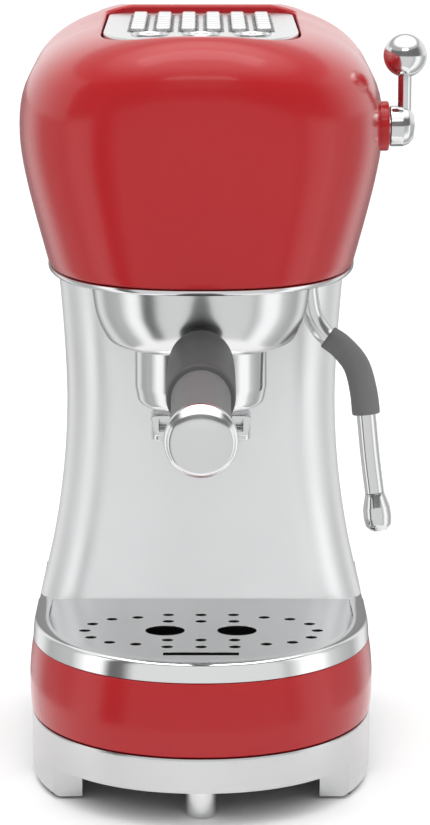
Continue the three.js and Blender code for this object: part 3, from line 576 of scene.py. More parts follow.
def finish(name):
    """The material of that name, made when it is first asked for."""
    if name in MATERIALS:
        return MATERIALS[name]
    look = finish_settings()
    rough = look.enamel_roughness
    steel = look.steel_roughness
    dark_grip = tuple(channel * 0.45 for channel in look.grip)
    makers = {
        "enamel": lambda: surface(
            "Red Enamel", look.enamel, (rough - 0.03, rough + 0.03), darker=0.93, grain=260, relief=0.05,
            **{"Coat Weight": 0.16, "Coat Roughness": 0.1, "Specular IOR Level": 0.25},
        ),
        "chrome": lambda: surface("Plated Chrome", look.chrome, (0.1, 0.15), Metallic=1.0),
        "satin_chrome": lambda: surface("Satin Chrome", look.chrome, (0.18, 0.23), Metallic=1.0),
        "steel": lambda: surface(
            "Polished Steel", (0.82, 0.825, 0.83), (steel - 0.05, steel + 0.05), grain=700,
            stretch=(1, 1, 0.04), relief=0.12, Metallic=1.0,
        ),
        "collar": lambda: surface(
            "Dark Collar", dark_grip, (0.42, 0.54), darker=0.86, grain=1800, relief=0.35
        ),
        "plate": lambda: surface(
            "Warming Sheet", (0.74, 0.745, 0.75), (0.24, 0.32), darker=0.95, grain=800,
            stretch=(1, 0.06, 1), relief=0.1, Metallic=1.0,
        ),
        "floor": lambda: surface("Pale Floor", (0.9, 0.9, 0.9), (0.5, 0.6), darker=0.99),
        "mirror_steel": lambda: surface(
            "Mirror Steel", (0.8, 0.805, 0.81), (0.1, 0.16), stretch=(0.05, 1, 1), relief=0.04,
            Metallic=1.0,
        ),
        "cast": lambda: surface(
            "Satin Casting", (0.55, 0.555, 0.56), (0.2, 0.28), darker=0.95, grain=1500, relief=0.12,
            Metallic=1.0,
        ),
        "grip": lambda: surface(
            "Soft Grip", look.grip, (0.46, 0.58), darker=0.88, grain=1800, relief=0.35
        ),
        "black": lambda: surface(
            "Black Plastic", (0.018, 0.018, 0.019), (0.38, 0.5), darker=0.8, grain=1400, relief=0.35
        ),
        "rubber": lambda: surface(
            "Black Rubber", (0.014, 0.014, 0.014), (0.7, 0.82), darker=0.8, grain=1100, relief=0.5
        ),
        "tank": lambda: surface(
            "Smoked Plastic", (0.62, 0.66, 0.69), (0.04, 0.1), darker=0.94, IOR=1.49,
            **{"Transmission Weight": 1.0},
        ),
        "brass": lambda: surface(
            "Machined Brass", (0.66, 0.5, 0.24), (0.25, 0.38), darker=0.85, relief=0.2, Metallic=1.0
        ),
        "silicone": lambda: surface(
            "Silicone Hose", (0.72, 0.71, 0.66), (0.4, 0.5), darker=0.94, relief=0.1,
            **{"Subsurface Weight": 0.2},
        ),
        "board": lambda: surface(
            "Circuit Board", (0.02, 0.12, 0.06), (0.3, 0.45), darker=0.7, shade_scale=160, relief=0.2
        ),
    }
    MATERIALS[name] = makers[name]()
    return MATERIALS[name]


# ---- head

HEAD_LEVELS = (
    (HEAD_BOTTOM, 0.7), (HEAD_BOTTOM + 0.25, 0.25), (HEAD_BOTTOM + 0.8, 0),
    *((z, 0) for z in range(230, 306, 4)),
    *((z, 0) for z in (307, 309.5, 312, 314.5, 317, 319, 321, 322.6, 324, 325, 326)),
)


def head_half(z, inset=0.0):
    """Half-width of the head at height z, before its top is tipped forward."""
    depth = HEAD_MIDDLE - z
    if depth > 0:
        return HEAD_HALF - inset - HEAD_TAPER * (math.hypot(depth, HEAD_TAPER_BLEND) - HEAD_TAPER_BLEND)
    share = min(-depth / (HEAD_CROWN - inset), 0.999)
    return (HEAD_HALF - inset) * (1 - share**HEAD_CROWN_POWER) ** (1 / HEAD_CROWN_POWER)


def fillet_pull(z, top, radius):
    """How far a round edge of that radius under top has drawn in at height z."""
    share = min(max((z - top + radius) / radius, 0), 1)
    return radius * (1 - math.sqrt(1 - share**2))


def head_plan(z, inset=0.0):
    top = HEAD_TOP - inset
    front = HEAD_FRONT + inset + fillet_pull(z, top, HEAD_FILLET)
    back = HEAD_BACK - inset - fillet_pull(z, top, HEAD_REAR_FILLET)
    return (head_half(z, inset), front, HEAD_WIDE, back, HEAD_CORNER, HEAD_POWER)


def tipped(y, z):
    back = min(max(y / HEAD_BACK, 0), 1)
    return HEAD_BOTTOM + (z - HEAD_BOTTOM) * (1 - HEAD_FRONT_DROP * (1 - back) / (HEAD_TOP - HEAD_BOTTOM))


def head_ring(z, inset=0.0, edge=0.0):
    return [(x, y, tipped(y, z)) for x, y in plan(head_plan(z, inset), edge)]


HEIGHT_HALVINGS = 26


def inside(outline, x, y):
    half, front, wide, back, _, power = outline
    if y < wide:
        return (abs(x) / half) ** power + ((wide - y) / (wide - front)) ** power <= 1
    return abs(x) <= half and y <= back


def head_height(x, y):
    """Height of the top of the head over a spot."""
    low, high = HEAD_MIDDLE, HEAD_TOP
    for _ in range(HEIGHT_HALVINGS):
        middle = (low + high) / 2
        if inside(head_plan(middle), x, y):
            low = middle
        else:
            high = middle
    return tipped(y, low)


def head_skin():
    rings = [head_ring(z, 0, edge) for z, edge in HEAD_LEVELS]
    shoulder = plan(head_plan(HEAD_LEVELS[-1][0]))
    lip = 1.4
    rim = plan(PLATE_PLAN, -0.8 - lip)
    for share in (0.06, 0.14, 0.24, 0.36, 0.5, 0.66, 0.83, 1):
        ring = []
        for (x0, y0), (x1, y1) in zip(shoulder, rim):
            x, y = x0 + (x1 - x0) * share, y0 + (y1 - y0) * share
            ring.append((x, y, head_height(x, y)))
        rings.append(ring)
    crest = rings[-1]
    for turn in (25, 50, 70, 90):
        angle = math.radians(turn)
        edge = plan(PLATE_PLAN, -0.8 - lip + lip * math.sin(angle))
        fall = lip * (1 - math.cos(angle))
        rings.append([(x, y, z - fall) for (x, y), (_, _, z) in zip(edge, crest)])
    rings.append([(x, y, z - HEAD_WALL) for x, y, z in rings[-1]])
    for z in (324, 319, 311, 300, 285, 268, 248, HEAD_BOTTOM):
        rings.append(head_ring(z, HEAD_WALL))
    skin = drawn_up("head_skin", rings, closed=True)
    hole = tube_along_x("lever_hole", HEAD_HALF - 20, HEAD_HALF + 20, LEVER_Y, LEVER_Z, 10.8)
    return carve(skin, hole)


def cylinder(name, centre, length, radius, steps, rotation):
    """A plain cylinder about its centre, upright until it is rotated."""
    deselect()
    bpy.ops.mesh.primitive_cylinder_add(
        vertices=steps, radius=radius * MM, depth=length * MM, location=Vector(centre) * MM,
        rotation=rotation,
    )
    bpy.ops.object.transform_apply(location=True, rotation=True, scale=True)
    return named(name)


def tube_along_x(name, x0, x1, y, z, radius, steps=48):
    """A plain cylinder lying along X, for cutting."""
    return cylinder(name, ((x0 + x1) / 2, y, z), x1 - x0, radius, steps, (0, math.pi / 2, 0))


def upright_post(name, x, y, z0, z1, radius, steps=32):
    """A plain upright cylinder."""
    return cylinder(name, (x, y, (z0 + z1) / 2), z1 - z0, radius, steps, (0, 0, 0))


def trim_ring():
    footprint = (head_half(HEAD_BOTTOM), HEAD_FRONT, HEAD_WIDE, HEAD_BACK, HEAD_CORNER, HEAD_POWER)
    top = HEAD_BOTTOM - 0.3
    levels = [
        (top - 2.4, 1.2), (top - 2.2, 0.4), (top - 1.6, -0.15), (top - 0.9, -0.3), (top - 0.3, -0.25),
        (top, 0.3), (top, 5), (top - 2.4, 5),
    ]
    return drawn_up("head_chrome_ring", plan_rings(footprint, levels), closed=True)


class MESH_OT_espresso_head(Undoable, bpy.types.Operator):
    """The enamelled head with the chrome ring under it"""

    bl_idname = "mesh.espresso_head"
    bl_label = "Head"

    def execute(self, context):
        finished(head_skin(), "machine", "red_enamel", finish("enamel"), "head_shell", smooth=40)
        finished(trim_ring(), "machine", "chrome", finish("chrome"), "head_trim")
        dress(finish("black"), "head_floor")
        return {"FINISHED"}


# ---- warming plate and buttons

BUTTONS = (
    ("button_one_cup", -21, 27.5), ("button_two_cups", 0, 27.5), ("button_steam", 21, 27.5),
    ("button_power", 0, 9.6),
)
PLATE_TILT = (
    Matrix.Translation(Vector((0, 1, PLATE_FRONT_Z)) * MM)
    @ Matrix.Rotation(PLATE_SLOPE, 4, "X")
    @ Matrix.Translation(Vector((0, -1, 0)) * MM)
)


def plate_sheet():
    levels = [(-5, 0), (-0.9, 0), (-0.35, 0.1), (-0.08, 0.4), (0, 1), (0, 2.6)]
    rings = plan_rings(PLATE_PLAN, levels)
    under = plan_rings(PLATE_PLAN, [(-1.6, 2.6), (-1.6, 1.5), (-5, 1.5)])
    # The outline steps down along the top, so the sheet is closed by a floor below it.
    shell = drawn_up("warming_sheet", rings + under, closed=True)
    floor = drawn_up("sheet_floor", plan_rings(PLATE_PLAN, [(-1.6, 2), (0, 2)]))
    carve(shell, floor, operation="UNION")
    holes = [upright_post("hole", x, y, -8, 3, BUTTON_RADIUS + 0.3, 48) for _, x, y in BUTTONS]
    return carve(shell, joined(*holes))


RAIL_PITCH = 10.5
RAIL_HALF = 2.9
RAIL_FRONT, RAIL_BACK = 43, 123
RAIL_COUNT = 6
RUNG_COUNT = 7
RUNG_PITCH = 11.4
BUTTON_RADIUS = 7.1


def rail_x(index):
    return (index - (RAIL_COUNT - 1) / 2) * RAIL_PITCH


def ladder_rail():
    """A pressed rail with a row of rungs and a notch between each two."""
    rail = block("rail", (-RAIL_HALF, RAIL_FRONT, -0.4), (RAIL_HALF, RAIL_BACK, 1.15), 0.4, 2)
    rungs = []
    for index in range(RUNG_COUNT):
        y = RAIL_FRONT + index * RUNG_PITCH
        rungs.append(block("rung", (-RAIL_HALF, y, 0.2), (RAIL_HALF, y + RUNG_PITCH - 0.9, 2.0), 0.7, 3))
    return joined(rail, *rungs)


def painted_vent_shadows():
    """Painted shade: small flat black diamonds laid just on the sheet at both sides of each rail, between
    the rungs. They stand in for the dark shade inside the openings there, and show as small teeth.
    """
    first = upright_post("painted_vent_shadows", 0, 0, 0.02, 0.16, 1.5, 4)
    teeth = []
    for rail in range(RAIL_COUNT):
        for side in (-1, 1):
            for index in range(2 * RUNG_COUNT + 1):
                spot = (rail_x(rail) + side * RAIL_HALF, RAIL_FRONT + 0.2 + index * RUNG_PITCH / 2, 0)
                teeth.append(twin(first, "tooth", spot))
    return joined(first, *teeth)


def warming_rails():
    first = ladder_rail()
    rails = [twin(first, "rail", (rail_x(index), 0, 0)) for index in range(RAIL_COUNT)]
    bpy.data.objects.remove(first)
    return joined(*rails)


def button_cap(name, x, y):
    top, under = 0.9, -2.3
    profile = rounded([
        (0.01, under - 5), (2.4, under - 5), (2.4, under), (BUTTON_RADIUS, under, 0.3),
        (BUTTON_RADIUS, top, 0.5), (BUTTON_RADIUS - 1, top, 0.3), (5.7, top - 0.45, 0.3),
        (0.01, top - 0.3),
    ], 4)
    return turned(name + "_cap", profile, (x, y), 64)


# Bars of each mark: how far each lies to the right, its half-width and its half-depth.
MARK_BARS = {
    "button_one_cup": [(0, 1.6, 0.5)],
    "button_two_cups": [(-1.7, 1.1, 0.5), (1.7, 1.1, 0.5)],
    "button_steam": [(-1, 0.35, 1.7), (1, 0.35, 1.7)],
}


def button_mark(name, x, y):
    """A plain small mark: one bar, two bars, two bars on end or a dot."""
    z0, z1 = 0.35, 0.68
    if name not in MARK_BARS:
        return upright_post("mark", x, y, z0, z1, 1.1, 24)
    bars = []
    for across, half, deep in MARK_BARS[name]:
        low, high = (x + across - half, y - deep, z0), (x + across + half, y + deep, z1)
        bars.append(block("mark", low, high, 0.12))
    return joined(*bars)


class MESH_OT_espresso_warming_plate(Undoable, bpy.types.Operator):
    """The sheet that cups warm on, its ladder rails and the four buttons"""

    bl_idname = "mesh.espresso_warming_plate"
    bl_label = "Warming plate"

    def execute(self, context):
        sheet = joined(plate_sheet(), warming_rails())
        sheet.data.transform(PLATE_TILT)
        finished(sheet, "machine", "polished_steel", finish("plate"), "warming_plate", flats=True)
        # Painted shade: black diamonds on the sheet stand in for the shade in the openings between the
        # rungs
        vent_shadows = painted_vent_shadows()
        vent_shadows.data.transform(PLATE_TILT)
        finished(vent_shadows, "machine", "black_plastic", finish("black"))
        for name, x, y in BUTTONS:
            cap = button_cap(name, x, y)
            cap.data.transform(PLATE_TILT)
            finished(cap, name, "chrome", finish("plate"), name)
            if shape_settings().show_marks:
                mark = button_mark(name, x, y)
                mark.name = mark.data.name = name + "_mark"
                mark.data.transform(PLATE_TILT)
                finished(mark, name, "black_plastic", finish("black"))
        dress(finish("board"), "button_board")
        return {"FINISHED"}


# ---- column


COLUMN_WAIST = 60.2  # half-width at the waist
COLUMN_FACE = 97  # the front of the column where it stands on the deck
COLUMN_CORNER = 24
COLUMN_WALL = 1.2
COLUMN_LEVELS = 28
FOOT_DROP = COLUMN_WAIST_Z - COLUMN_FOOT_Z


def column_half(z):
    """Half-width of the column, which flares gently upwards and widely downwards."""
    if z > COLUMN_WAIST_Z:
        return COLUMN_WAIST + 4.2 * ((z - COLUMN_WAIST_Z) / 66) ** 1.5
    return COLUMN_WAIST + 12.4 * ((COLUMN_WAIST_Z - z) / FOOT_DROP) ** 2


def column_face(z):
    """Front of the column, which is hollowed back at the waist."""
    return COLUMN_FACE + 0.0009 * (FOOT_DROP**2 - (z - COLUMN_WAIST_Z) ** 2)


def column_side(z, inset, back=147, steps=14):
    """One height of the column, from its left rear edge round the front to its right rear edge."""
    half = column_half(z) - inset
    front = column_face(z) + inset
    corner = COLUMN_CORNER - inset
    points = [(-half, back)]
    for side in (0, 1):
        centre = half - corner if side else corner - half
        for step in range(steps + 1):
            turn = math.pi * (1 + side / 2 + step / steps / 2)
            points.append((centre + corner * math.cos(turn), front + corner + corner * math.sin(turn)))
    points.append((half, back))
    return points


def column_skin():
    rings = []
    for step in range(COLUMN_LEVELS + 1):
        z = COLUMN_FOOT_Z + 0.3 + (COLUMN_TOP_Z - COLUMN_FOOT_Z - 0.3) * step / COLUMN_LEVELS
        outer = column_side(z, 0)
        inner = column_side(z, COLUMN_WALL)
        rings.append([(x, y, z) for x, y in outer + inner[::-1]])
    return drawn_up("column_skin", rings)


def rear_panel():
    panel = solid_copy("column_rear_panel", "back_panel")
    bevelled(panel)
    slats = []
    for index in range(9):
        z = 92 + index * 6.5
        slats.append(block("vent", (-26, 144, z), (26, 148.6, z + 2.6), 0))
    return carve(panel, joined(*slats))


class MESH_OT_espresso_column(Undoable, bpy.types.Operator):
    """The polished column and the vented panel that closes it"""

    bl_idname = "mesh.espresso_column"
    bl_label = "Column"

    def execute(self, context):
        finished(column_skin(), "machine", "polished_steel", finish("steel"), "column_shell", smooth=30)
        finished(rear_panel(), "machine", "black_plastic", finish("black"), "back_panel")
        return {"FINISHED"}


# ---- group and portafilter

COVER_BOTTOM = 193.5


def bowl():
    z = COVER_BOTTOM
    curve = flowing([
        (36.2, z + 0.6, 0), (38.7, z + 2.2, 0), (40.7, z + 5.2, 0), (42.8, z + 9.7, 0),
        (44.4, z + 15, 0), (45.6, z + 22.8, 0), (46.5, z + 29.2, 0),
    ], 6)
    outer = [(r, height) for r, height, _ in curve]
    profile = [(34, z + 2), (34, z + 0.5), (34.3, z), (34.9, z + 0.1), *outer]
    profile += [(46.5, 223), (44.3, 223), (41.8, z + 15), (37.9, z + 6), (35.7, z + 2.8), (34, z + 2)]
    return turned("group_bowl", profile, (0, GROUP_Y), 128)


def portafilter_bowl():
    profile = rounded([
        (3, 166.5), (20, 166.5, 3), (26.6, 168.4, 4.5), (27.9, 176, 8), (27.9, 195.7, 1),
        (29.4, 197.2, 0.8), (32.6, 197.2, 1), (32.6, 206.7, 0.6), (26, 206.7, 0.4), (26, 176, 0.6),
        (21, 171, 1), (3, 171), (3, 166.5),
    ], 6)
    body = turned("portafilter_bowl", profile, (0, GROUP_Y), 112)
    return carve(body, lug_bar(), operation="UNION")


def lug_bar():
    """Both lugs: a disc cut down to a bar, with a hole for the bowl."""
    profile = [(29.4, 203.6), (35.7, 203.6), (35.7, 206.6), (29.4, 206.6), (29.4, 203.6)]
    disc = turned("lugs", profile, (0, GROUP_Y), 96)
    for near, far in ((-70, -10.4), (10.4, 70)):
        carve(disc, block("far", (-60, GROUP_Y + near, 190), (60, GROUP_Y + far, 220)))
    return disc


def basket():
    profile = rounded([
        (0.01, 181), (23.4, 181, 1), (24.4, 184, 1), (25.4, 202.7, 1), (25.4, 207), (29.4, 207, 0.3),
        (29.4, 208, 0.4), (24.5, 208, 0.5), (24.5, 202.7, 1), (23.5, 184, 1), (22.4, 181.9, 1),
        (0.01, 181.9),
    ], 4)
    return turned("dosing_basket", profile, (0, GROUP_Y), 96)


def spout_block():
    top, bar_top, bar_bottom = 166.2, 163.8, 156.1
    outline = rounded([
        (-20.6, 163.4), (-21.2, bar_top - 1.2, 0.6), (-20.0, bar_bottom + 0.8, 1.8),
        (-19, bar_bottom - 1.4, 1.2), (19, bar_bottom - 1.4, 1.2), (20.0, bar_bottom + 0.8, 1.8),
        (21.2, bar_top - 1.2, 0.6), (20.6, 163.4), (20.2, bar_top), (-20.2, bar_top),
    ], 4)
    block_rings = [[(x, y, z) for x, z in outline] for y in (GROUP_Y - 7, GROUP_Y + 7)]
    bar = bevelled(drawn_up("twin_spouts", block_rings), 1.2, 3)
    boss = turned("boss", rounded([(0.01, 162), (9, 162), (9, top, 0.6), (0.01, top)]), (0, GROUP_Y), 64)
    bar = carve(bar, boss, operation="UNION")
    for side in (-1, 1):
        nozzle_shape = rounded([(0.01, 158), (4.4, 158), (4.4, 152.5, 0.5), (0.01, 152.5)])
        nozzle = turned("nozzle", nozzle_shape, (side * 16.6, GROUP_Y), 48)
        carve(bar, nozzle, operation="UNION")
    bores = [upright_post("bore", side * 16.6, GROUP_Y, 150, 159.1, 2.9) for side in (-1, 1)]
    bores.append(upright_post("inlet", 0, GROUP_Y, 159, 168, 3))
    channel = block("channel", (-18.6, GROUP_Y - 3.4, 157.1), (18.6, GROUP_Y + 3.4, 161.8))
    for side in (-1, 1):
        inner, outer = sorted((side * 14.4, side * 17.8))
        bores.append(block("side_slot", (inner, GROUP_Y - 8, 156.8), (outer, GROUP_Y, 162.4), 0.5))
    return carve(bar, channel, *bores)


def handle_z(y):
    return GRIP_START_Z + (y - GRIP_START) * math.tan(HANDLE_SLOPE)


def handle_piece(name, stations, sides=64):
    """Upright oval rings along the handle: (y, half width, half height, lift)."""
    rings = []
    for y, width, height, lift in stations:
        ring = []
        for side in range(sides):
            turn = math.tau * side / sides
            ring.append((width * math.cos(turn), y, handle_z(y) + lift + height * math.sin(turn)))
        rings.append(ring)
    return drawn_up(name, rings)


def softened(stations, edge=0.7):
    """Stations with rounded ends and a smooth run between them."""
    (y0, w0, h0, l0), (y1, w1, h1, l1) = stations[0], stations[-1]
    step = math.copysign(edge, y1 - y0)
    path = [(y0, w0 - edge, h0 - edge, l0), (y0 + step * 0.3, w0 - edge * 0.3, h0 - edge * 0.3, l0)]
    path += flowing_four([(y0 + step, w0, h0, l0), *stations[1:-1], (y1 - step, w1, h1, l1)])
    path += [(y1 - step * 0.3, w1 - edge * 0.3, h1 - edge * 0.3, l1), (y1, w1 - edge, h1 - edge, l1)]
    return path


def flowing_four(stations, steps=4):
    upper = flowing([s[:3] for s in stations], steps)
    lifts = flowing([(s[3], 0, 0) for s in stations], steps)
    return [(*point, lift[0]) for point, lift in zip(upper, lifts)]


def neck(radius=4.5, z=187.6, sides=40):
    """The round bar between the bowl and the handle."""
    turns = [math.tau * side / sides for side in range(sides)]
    circle = [(radius * math.cos(turn), z + radius * math.sin(turn)) for turn in turns]
    return drawn_up("handle_stem", [[(x, y, z) for x, z in circle] for y in (13.8, 8, 2, -4.7)])


# Places along the handle and radii there.
CAP_DOME = (
    (-97, 12.2), (-97.15, 13.1), (-97.6, 13.8), (-98.4, 14.15), (-99.4, 14.2), (-100.4, 14.1),
    (-101.1, 13.7), (-101.5, 13.3), (-101.9, 13.0), (-103.0, 12.6), (-103.9, 11.7), (-104.6, 10.4),
    (-105.15, 8.8), (-105.5, 7.0), (-105.75, 5.0), (-105.9, 3.0), (-105.98, 0.8),
)


class MESH_OT_espresso_group(Undoable, bpy.types.Operator):
    """The bowl under the head and what it holds"""

    bl_idname = "mesh.espresso_group"
    bl_label = "Group"

    def execute(self, context):
        finished(bowl(), "machine", "chrome", finish("satin_chrome"), "group_cover", smooth=30)
        dress(finish("brass"), "bayonet_ring", "boiler")
        dress(finish("rubber"), "group_gasket")
        dress(finish("mirror_steel"), "shower_screen")
        return {"FINISHED"}


class MESH_OT_espresso_portafilter(Undoable, bpy.types.Operator):
    """The filter holder with its basket, spouts and handle"""

    bl_idname = "mesh.espresso_portafilter"
    bl_label = "Portafilter"

    def execute(self, context):
        chrome, grip = finish("chrome"), finish("grip")
        finished(portafilter_bowl(), "portafilter", "chrome", chrome, "filter_holder", smooth=30)
        finished(basket(), "portafilter", "polished_steel", finish("mirror_steel"), "filter_basket")
        finished(spout_block(), "portafilter", "chrome", chrome, "twin_spout")
        finished(neck(), "portafilter", "chrome", chrome, "handle_neck")
        collar = handle_piece("handle_sleeve", softened([
            (-5, 11.6, 11.6, 0.2), (-8, 12.9, 13, 0.9), (-18, 13.6, 13.7, 0.6), (-38, 13.8, 13.8, 0),
            (-51.6, 13.7, 13.7, 0),
        ], 1.6))
        finished(collar, "portafilter", "grip_grey", finish("collar"), "handle_collar")
        hold = handle_piece("handle_hold", softened([
            (-51.9, 11.8, 11.8, 0), (-66, 11.7, 11.7, 0), (-82, 12.1, 12.1, 0), (-96.7, 12.7, 12.7, 0),
        ], 0.3))
        finished(hold, "portafilter", "grip_grey", grip, "handle_grip")
        dome = handle_piece("handle_dome", [(y, r, r, 0) for y, r in CAP_DOME], 96)
        finished(dome, "portafilter", "chrome", finish("satin_chrome"), "handle_cap", smooth=45)
        return {"FINISHED"}


# ---- steam wand and lever


def wand_line():
    x, y = WAND_ROOT
    return [
        (x, y, 216.0), (x + 0.4, y, 209), (x + 2.2, y - 0.4, 200), (x + 6.8, y - 1.2, 192.6),
        (x + 14.2, y - 2.4, 187.2), (x + 20.8, y - 3.8, 179.2), (x + 24, y - 5, 168),
        (x + 25.4, y - 6, 156), (x + 27, y - 7.6, 140), (x + 29, y - 9.4, 124.2),
    ]


def along_wand(shares, steps=24):
    """Places and directions at shares of the wand's length."""
    path = [Vector(point) for point in flowing(wand_line(), steps)]
    lengths = [0]
    for start, end in zip(path, path[1:]):
        lengths.append(lengths[-1] + (end - start).length)
    places = []
    for share in shares:
        want = share * lengths[-1]
        index = 1
        while index < len(path) - 1 and lengths[index] < want:
            index += 1
        part = (want - lengths[index - 1]) / (lengths[index] - lengths[index - 1])
        spot = path[index - 1].lerp(path[index], part)
        places.append((spot, (path[index] - path[index - 1]).normalized()))
    return places


def wand_rings(stations, sides=40):
    """Rings of a radius at a share of the wand's length."""
    rings = []
    for (spot, along), (_, radius) in zip(along_wand([share for share, _ in stations]), stations):
        across = Vector((0, 1, 0)).cross(along).normalized()
        up = along.cross(across)
        turns = [math.tau * side / sides for side in range(sides)]
        rings.append([spot + (across * math.cos(t) + up * math.sin(t)) * radius for t in turns])
    return rings


def wand_pipe(radius=4.2, count=56):
    return drawn_up("wand_pipe", wand_rings([(step / count, radius) for step in range(count + 1)]))


def wand_grip():
    start, end, bore = 0.27, 0.66, 4.5
    count = 30
    stations = [(start, bore), (start, 4.85), (start + 0.004, 5.15)]
    for step in range(1, count):
        share = step / count
        stations.append((start + 0.004 + (end - start - 0.008) * share, 5.2 + 0.9 * share**0.7))
    stations += [(end - 0.003, 5.95), (end, 5.5), (end, bore)]
    stations += [(end + (start - end) * step / count, bore) for step in range(1, count)]
    return drawn_up("wand_grip_sleeve", wand_rings(stations), closed=True)


def wand_nozzle():
    spot, along = along_wand([1])[0]
    profile = rounded([
        (0.01, 0.3), (4.2, 0.3, 0.2), (4.6, 1.6, 0.5), (5.9, 6.4, 3), (6.1, 10.5, 3), (5.6, 14.2, 2),
        (3.1, 16.6, 1.5), (0.01, 17),
    ], 4)
    tip = turned("wand_nozzle", profile, (0, 0), 48)
    turn = Vector((0, 0, 1)).rotation_difference(along).to_matrix().to_4x4()
    return placed(tip, turn, spot)


def socket_cup():
    profile = rounded([(0.01, 216.3), (5.4, 216.3, 0.6), (8, 219.3, 1.2), (8, 222.8, 0.3), (0.01, 222.8)])
    return turned("wand_socket_cup", profile, WAND_ROOT, 48)


class MESH_OT_espresso_wand(Undoable, bpy.types.Operator):
    """The steam wand with its grip and tip"""

    bl_idname = "mesh.espresso_wand"
    bl_label = "Steam wand"

    def execute(self, context):
        chrome = finish("chrome")
        finished(wand_pipe(), "steam_wand", "chrome", chrome, "wand_tube")
        finished(wand_grip(), "steam_wand", "grip_grey", finish("grip"), "wand_sleeve")
        finished(wand_nozzle(), "steam_wand", "chrome", chrome, "wand_tip")
        finished(socket_cup(), "machine", "chrome", chrome, "wand_socket")
        return {"FINISHED"}


LEVER_ROD_X = 85.6


def lever_turned(name, profile, steps=64):
    """A profile of (radius, X) turned about the lever's axis."""
    piece = turned(name, profile, (0, 0), steps)
    return placed(piece, Matrix.Rotation(math.pi / 2, 4, "Y"), (0, LEVER_Y, LEVER_Z))


def lever_collar():
    profile = rounded([(4.5, 70.5), (10.5, 70.5), (10.5, 79, 1.1), (4.5, 79, 0.3), (4.5, 70.5)])
    return lever_turned("lever_collar", profile)


def lever_drum():
    profile = rounded([
        (0.01, 83.3), (4.3, 83.3), (4.3, 79.5), (8.6, 79.5, 0.6), (8.6, 84.8, 2), (7.6, 87.4, 2.5),
        (5.2, 89.4, 2), (0.01, 90),
    ], 5)
    drum = lever_turned("lever_drum", profile)
    return carve(drum, upright_post("rod_hole", LEVER_ROD_X, LEVER_Y, LEVER_Z + 3, LEVER_Z + 20, 3.15))


def lever_knob():
    radius = 9.15
    centre = LEVER_Z + 29.6
    profile = [(3.15, centre - 4), (3.15, centre - radius * 0.94)]
    for step in range(25):
        turn = math.radians(-70 + 160 * step / 24)
        profile.append((max(radius * math.cos(turn), 0.01), centre + radius * math.sin(turn)))
    return turned("lever_knob", [(0.01, centre - 4), *profile], (LEVER_ROD_X, LEVER_Y), 72)


def lever_arm():
    profile = rounded([(0.01, 286.5), (2.85, 286.5, 0.2), (2.85, 308.5, 0.2), (0.01, 308.5)])
    return turned("lever_arm", profile, (LEVER_ROD_X, LEVER_Y), 40)


class MESH_OT_espresso_lever(Undoable, bpy.types.Operator):
    """The steam lever with its ball end"""

    bl_idname = "mesh.espresso_lever"
    bl_label = "Steam lever"

    def execute(self, context):
        chrome = finish("chrome")
        finished(lever_collar(), "machine", "red_plastic", finish("enamel"), "lever_bezel")
        finished(lever_drum(), "steam_lever", "chrome", chrome, "lever_barrel")
        finished(lever_arm(), "steam_lever", "chrome", chrome, "lever_rod")
        finished(lever_knob(), "steam_lever", "chrome", chrome, "lever_ball", smooth=45)
        dress(finish("mirror_steel"), "lever_spindle")
        dress(finish("brass"), "steam_valve")
        return {"FINISHED"}


# ---- base and drip tray


def plinth_body():
    skirt = [(1.3, 2.4), (1.7, 1.7), (2.9, 0.7), (5.3, 0.2), (15, 0.2), (28.6, 0), (29.6, 0.25), (30, 0.9)]
    body = drawn_up("plinth_casting", plan_rings(BASE_PLAN, skirt))
    hollow = [(-1, 11), (16, 11), (16, 3), (27.5, 3)]
    carve(body, drawn_up("hollow", plan_rings(BASE_PLAN, hollow)))
    arches = (
        ((-120, -60, -20), (120, 21.5, 15)), ((-120, 58, -20), (120, 172, 15)),
        ((-46, 150, -20), (46, 260, 15)),
    )
    for low, high in arches:
        carve(body, arch_cutter(low, high))
    return bevelled(body, 0.45, 2)


def arch_cutter(low, high, rounding=4.5):
    """A box whose two upper edges are well rounded, for an arch between two legs."""
    low, high = Vector(low) * MM, Vector(high) * MM
    cutter = block("arch", low / MM, high / MM)
    begin_edit(cutter)
    mesh = bmesh.from_edit_mesh(cutter.data)
    wide = high.y - low.y > 0.05 and high.x - low.x > 0.2
    for edge in mesh.edges:
        edge.select = False
        ends = [vertex.co for vertex in edge.verts]
        on_top = all(abs(end.z - high.z) < 0.00001 for end in ends)
        along_x = abs(ends[0].x - ends[1].x) > 0.01
        edge.select = on_top and along_x == wide
    mesh.select_flush_mode()
    bmesh.update_edit_mesh(cutter.data)
    bpy.ops.mesh.bevel(offset=rounding * MM, segments=8, affect="EDGES")
    end_edit()
    return cutter


def foot():
    profile = rounded([(0.01, 0), (4.9, 0, 0.4), (6.1, 0.7, 0.6), (6.7, 2.2, 1), (6.7, 16), (0.01, 16)])
    return turned("front_foot_turning", profile, (0, 0), 56)


def band_skin(name):
    levels = []
    for step in range(13):
        share = step / 12
        z = 30.3 + 31.4 * share
        inset = 0.1 + 0.8 * share - 1.2 * 4 * share * (1 - share)
        levels.append((z, max(inset, -0.7)))
    levels[0] = (30.3, 0.5)
    levels.insert(1, (30.7, 0.05))
    levels[-1] = (61.3, 0.85)
    levels.append((61.7, 1.3))
    inner = [(61.7, 2.5), (30.3, 2.5)]
    return drawn_up(name, plan_rings(BASE_PLAN, levels + inner), closed=True)


def tray_frame():
    levels = [
        (62, 0.8), (65, 1.0), (68, 1.3), (68.9, 1.55), (69.6, 2.1), (69.9, 2.8), (70, 3.6), (70, 6.8),
        (69.9, 7.2), (69.5, 7.55), (69, 7.6), (67, 7.6), (67, 10.6), (62, 10.6),
    ]
    ring = drawn_up("tray_frame", plan_rings(BASE_PLAN, levels), closed=True)
    return halved(ring, TRAY_END, True)


